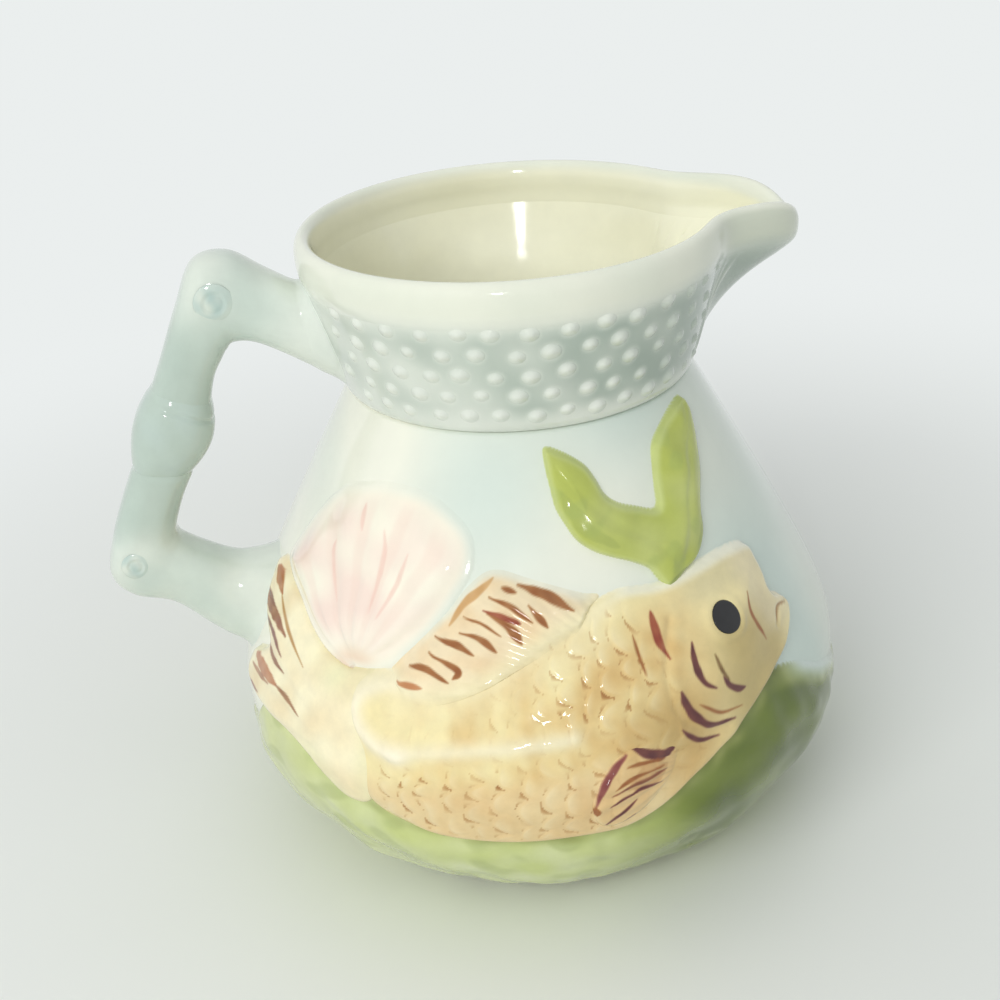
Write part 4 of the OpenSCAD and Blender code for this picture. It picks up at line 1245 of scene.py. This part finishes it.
def shell_rays(deg, z, points):
    """The angle about the shell's hinge and the distance from it, and the height of the ribs from -1 to 1"""
    x = np.radians(deg - shell_hinge[0]) * shell_r
    y = (z - shell_hinge[1]) * 1.14
    angle = np.arctan2(x, y)
    return angle, np.hypot(x, y), np.cos(angle * shell_rib_count + 0.35 * clouds(points, 20, 101))


def shell_height(deg, z, d, points):
    angle, out, ribs = shell_rays(deg, z, points)
    crisp = ramp(angle, -0.5, -0.9)
    rise = 2.4 * ramp(d, -0.4, 10) + (0.25 + 1.0 * crisp) * shoulder(d, 1.6)
    return rise + 0.2 * ribs * ramp(d, 1, 6) * ramp(out, 3, 12)


def shell_colour(deg, z, d, points):
    angle, out, ribs = shell_rays(deg, z, points)
    wash = (0.5 + 0.4 * clouds(points, 18, 102)) * ramp(d, 1, 9)
    colour = tint(all_over((249, 243, 224), points), (245, 224, 210), wash)
    colour = tint(colour, (242, 214, 198), ramp(-ribs, -0.1, 0.9) * ramp(d, 2, 8) * 0.3 * ramp(out, 4, 14))
    for path in pink_lines:
        colour = brush(colour, points, path, 1.0, (238, 198, 182), 0.6)
    colour = tint(colour, (238, 212, 186), 0.8 * ramp(out, 8, 2))
    return tint(colour, wall_glaze(deg, z), 0.9 * ramp(d, 3.5, 0.2) * ramp(angle, -1.2, -0.8))


shell_glaze = glaze("shell_glaze", 0.09, 0.02, 120, 0.06)
relief("shell", shell_outline, 0.42, shell_height, shell_colour, shell_glaze, "shell_glaze")

# The seaweed: two broad blades that fork from one root, with a soft vein in
# each, in leaf-green glaze that the brush left darker in streaks.
seaweed_outline = [
    (-92.9, 116.6), (-87.9, 115.2), (-82.7, 112.2), (-80.3, 109), (-78.6, 105.4), (-75.6, 103), (-71, 101.2),
    (-67.2, 99.8), (-65.3, 100.4), (-64.1, 103.8), (-62.4, 108), (-60.2, 111.8), (-56, 114.2), (-47.9, 116.9),
    (-40.6, 117.8), (-39.4, 115.2), (-41.3, 111.9), (-44.4, 107), (-48.3, 101.6), (-52.9, 96.3),
    (-55.5, 91.2), (-60, 87.2), (-64.5, 85.6), (-68.4, 84), (-70, 84.2), (-71.3, 86.6), (-72.6, 88.8),
    (-76.1, 91), (-80.3, 92.8), (-84.3, 94.8), (-87.7, 97.5), (-90, 101), (-91.8, 104.5), (-92.5, 108.4),
    (-93.2, 112.9)
]
seaweed_veins = [
    [(-65.5, 88), (-70, 94), (-76, 98.5), (-82.5, 104), (-88, 110), (-91.5, 115)],
    [(-64, 88), (-59.5, 96), (-54.5, 104), (-49, 111), (-43, 116)]
]
seaweed_strokes = [
    ([(-69.6, 84.8), (-66.5, 85.4), (-63.6, 86.6)], 1.8, 0.8),
    ([(-60, 88), (-56, 92), (-53, 97)], 2.4, 0.5),
    ([(-90, 108), (-86, 101), (-79, 95.5)], 3.2, 0.3),
    ([(-51, 99.5), (-47.6, 104), (-44, 109)], 2.0, 0.4)
]


def seaweed_height(deg, z, d, points):
    rise = 1.9 * shoulder(d, 3.6) + 1.2 * ramp(d, 0.6, 8)
    for path in seaweed_veins:
        rise = rise - 0.3 * beside(points, path, 1.3) * ramp(d, 0.4, 2.5)
    return rise + 0.14 * clouds(points, 9, 111)


def seaweed_colour(deg, z, d, points):
    colour = tint(all_over((177, 187, 84), points), (195, 203, 122), 0.25 + 0.35 * clouds(points, 14, 112))
    for path, width, strength in seaweed_strokes:
        colour = brush(colour, points, path, width, (138, 152, 72), strength)
    colour = tint(colour, (160, 176, 92), 0.35 * ramp(clouds(points, 8, 113), 0.3, 1.3))
    return tint(colour, (204, 214, 150), 0.6 * ramp(d, 1.8, 0.3))


relief("seaweed", seaweed_outline, 0.36, seaweed_height, seaweed_colour, green_glaze, "green_glaze")
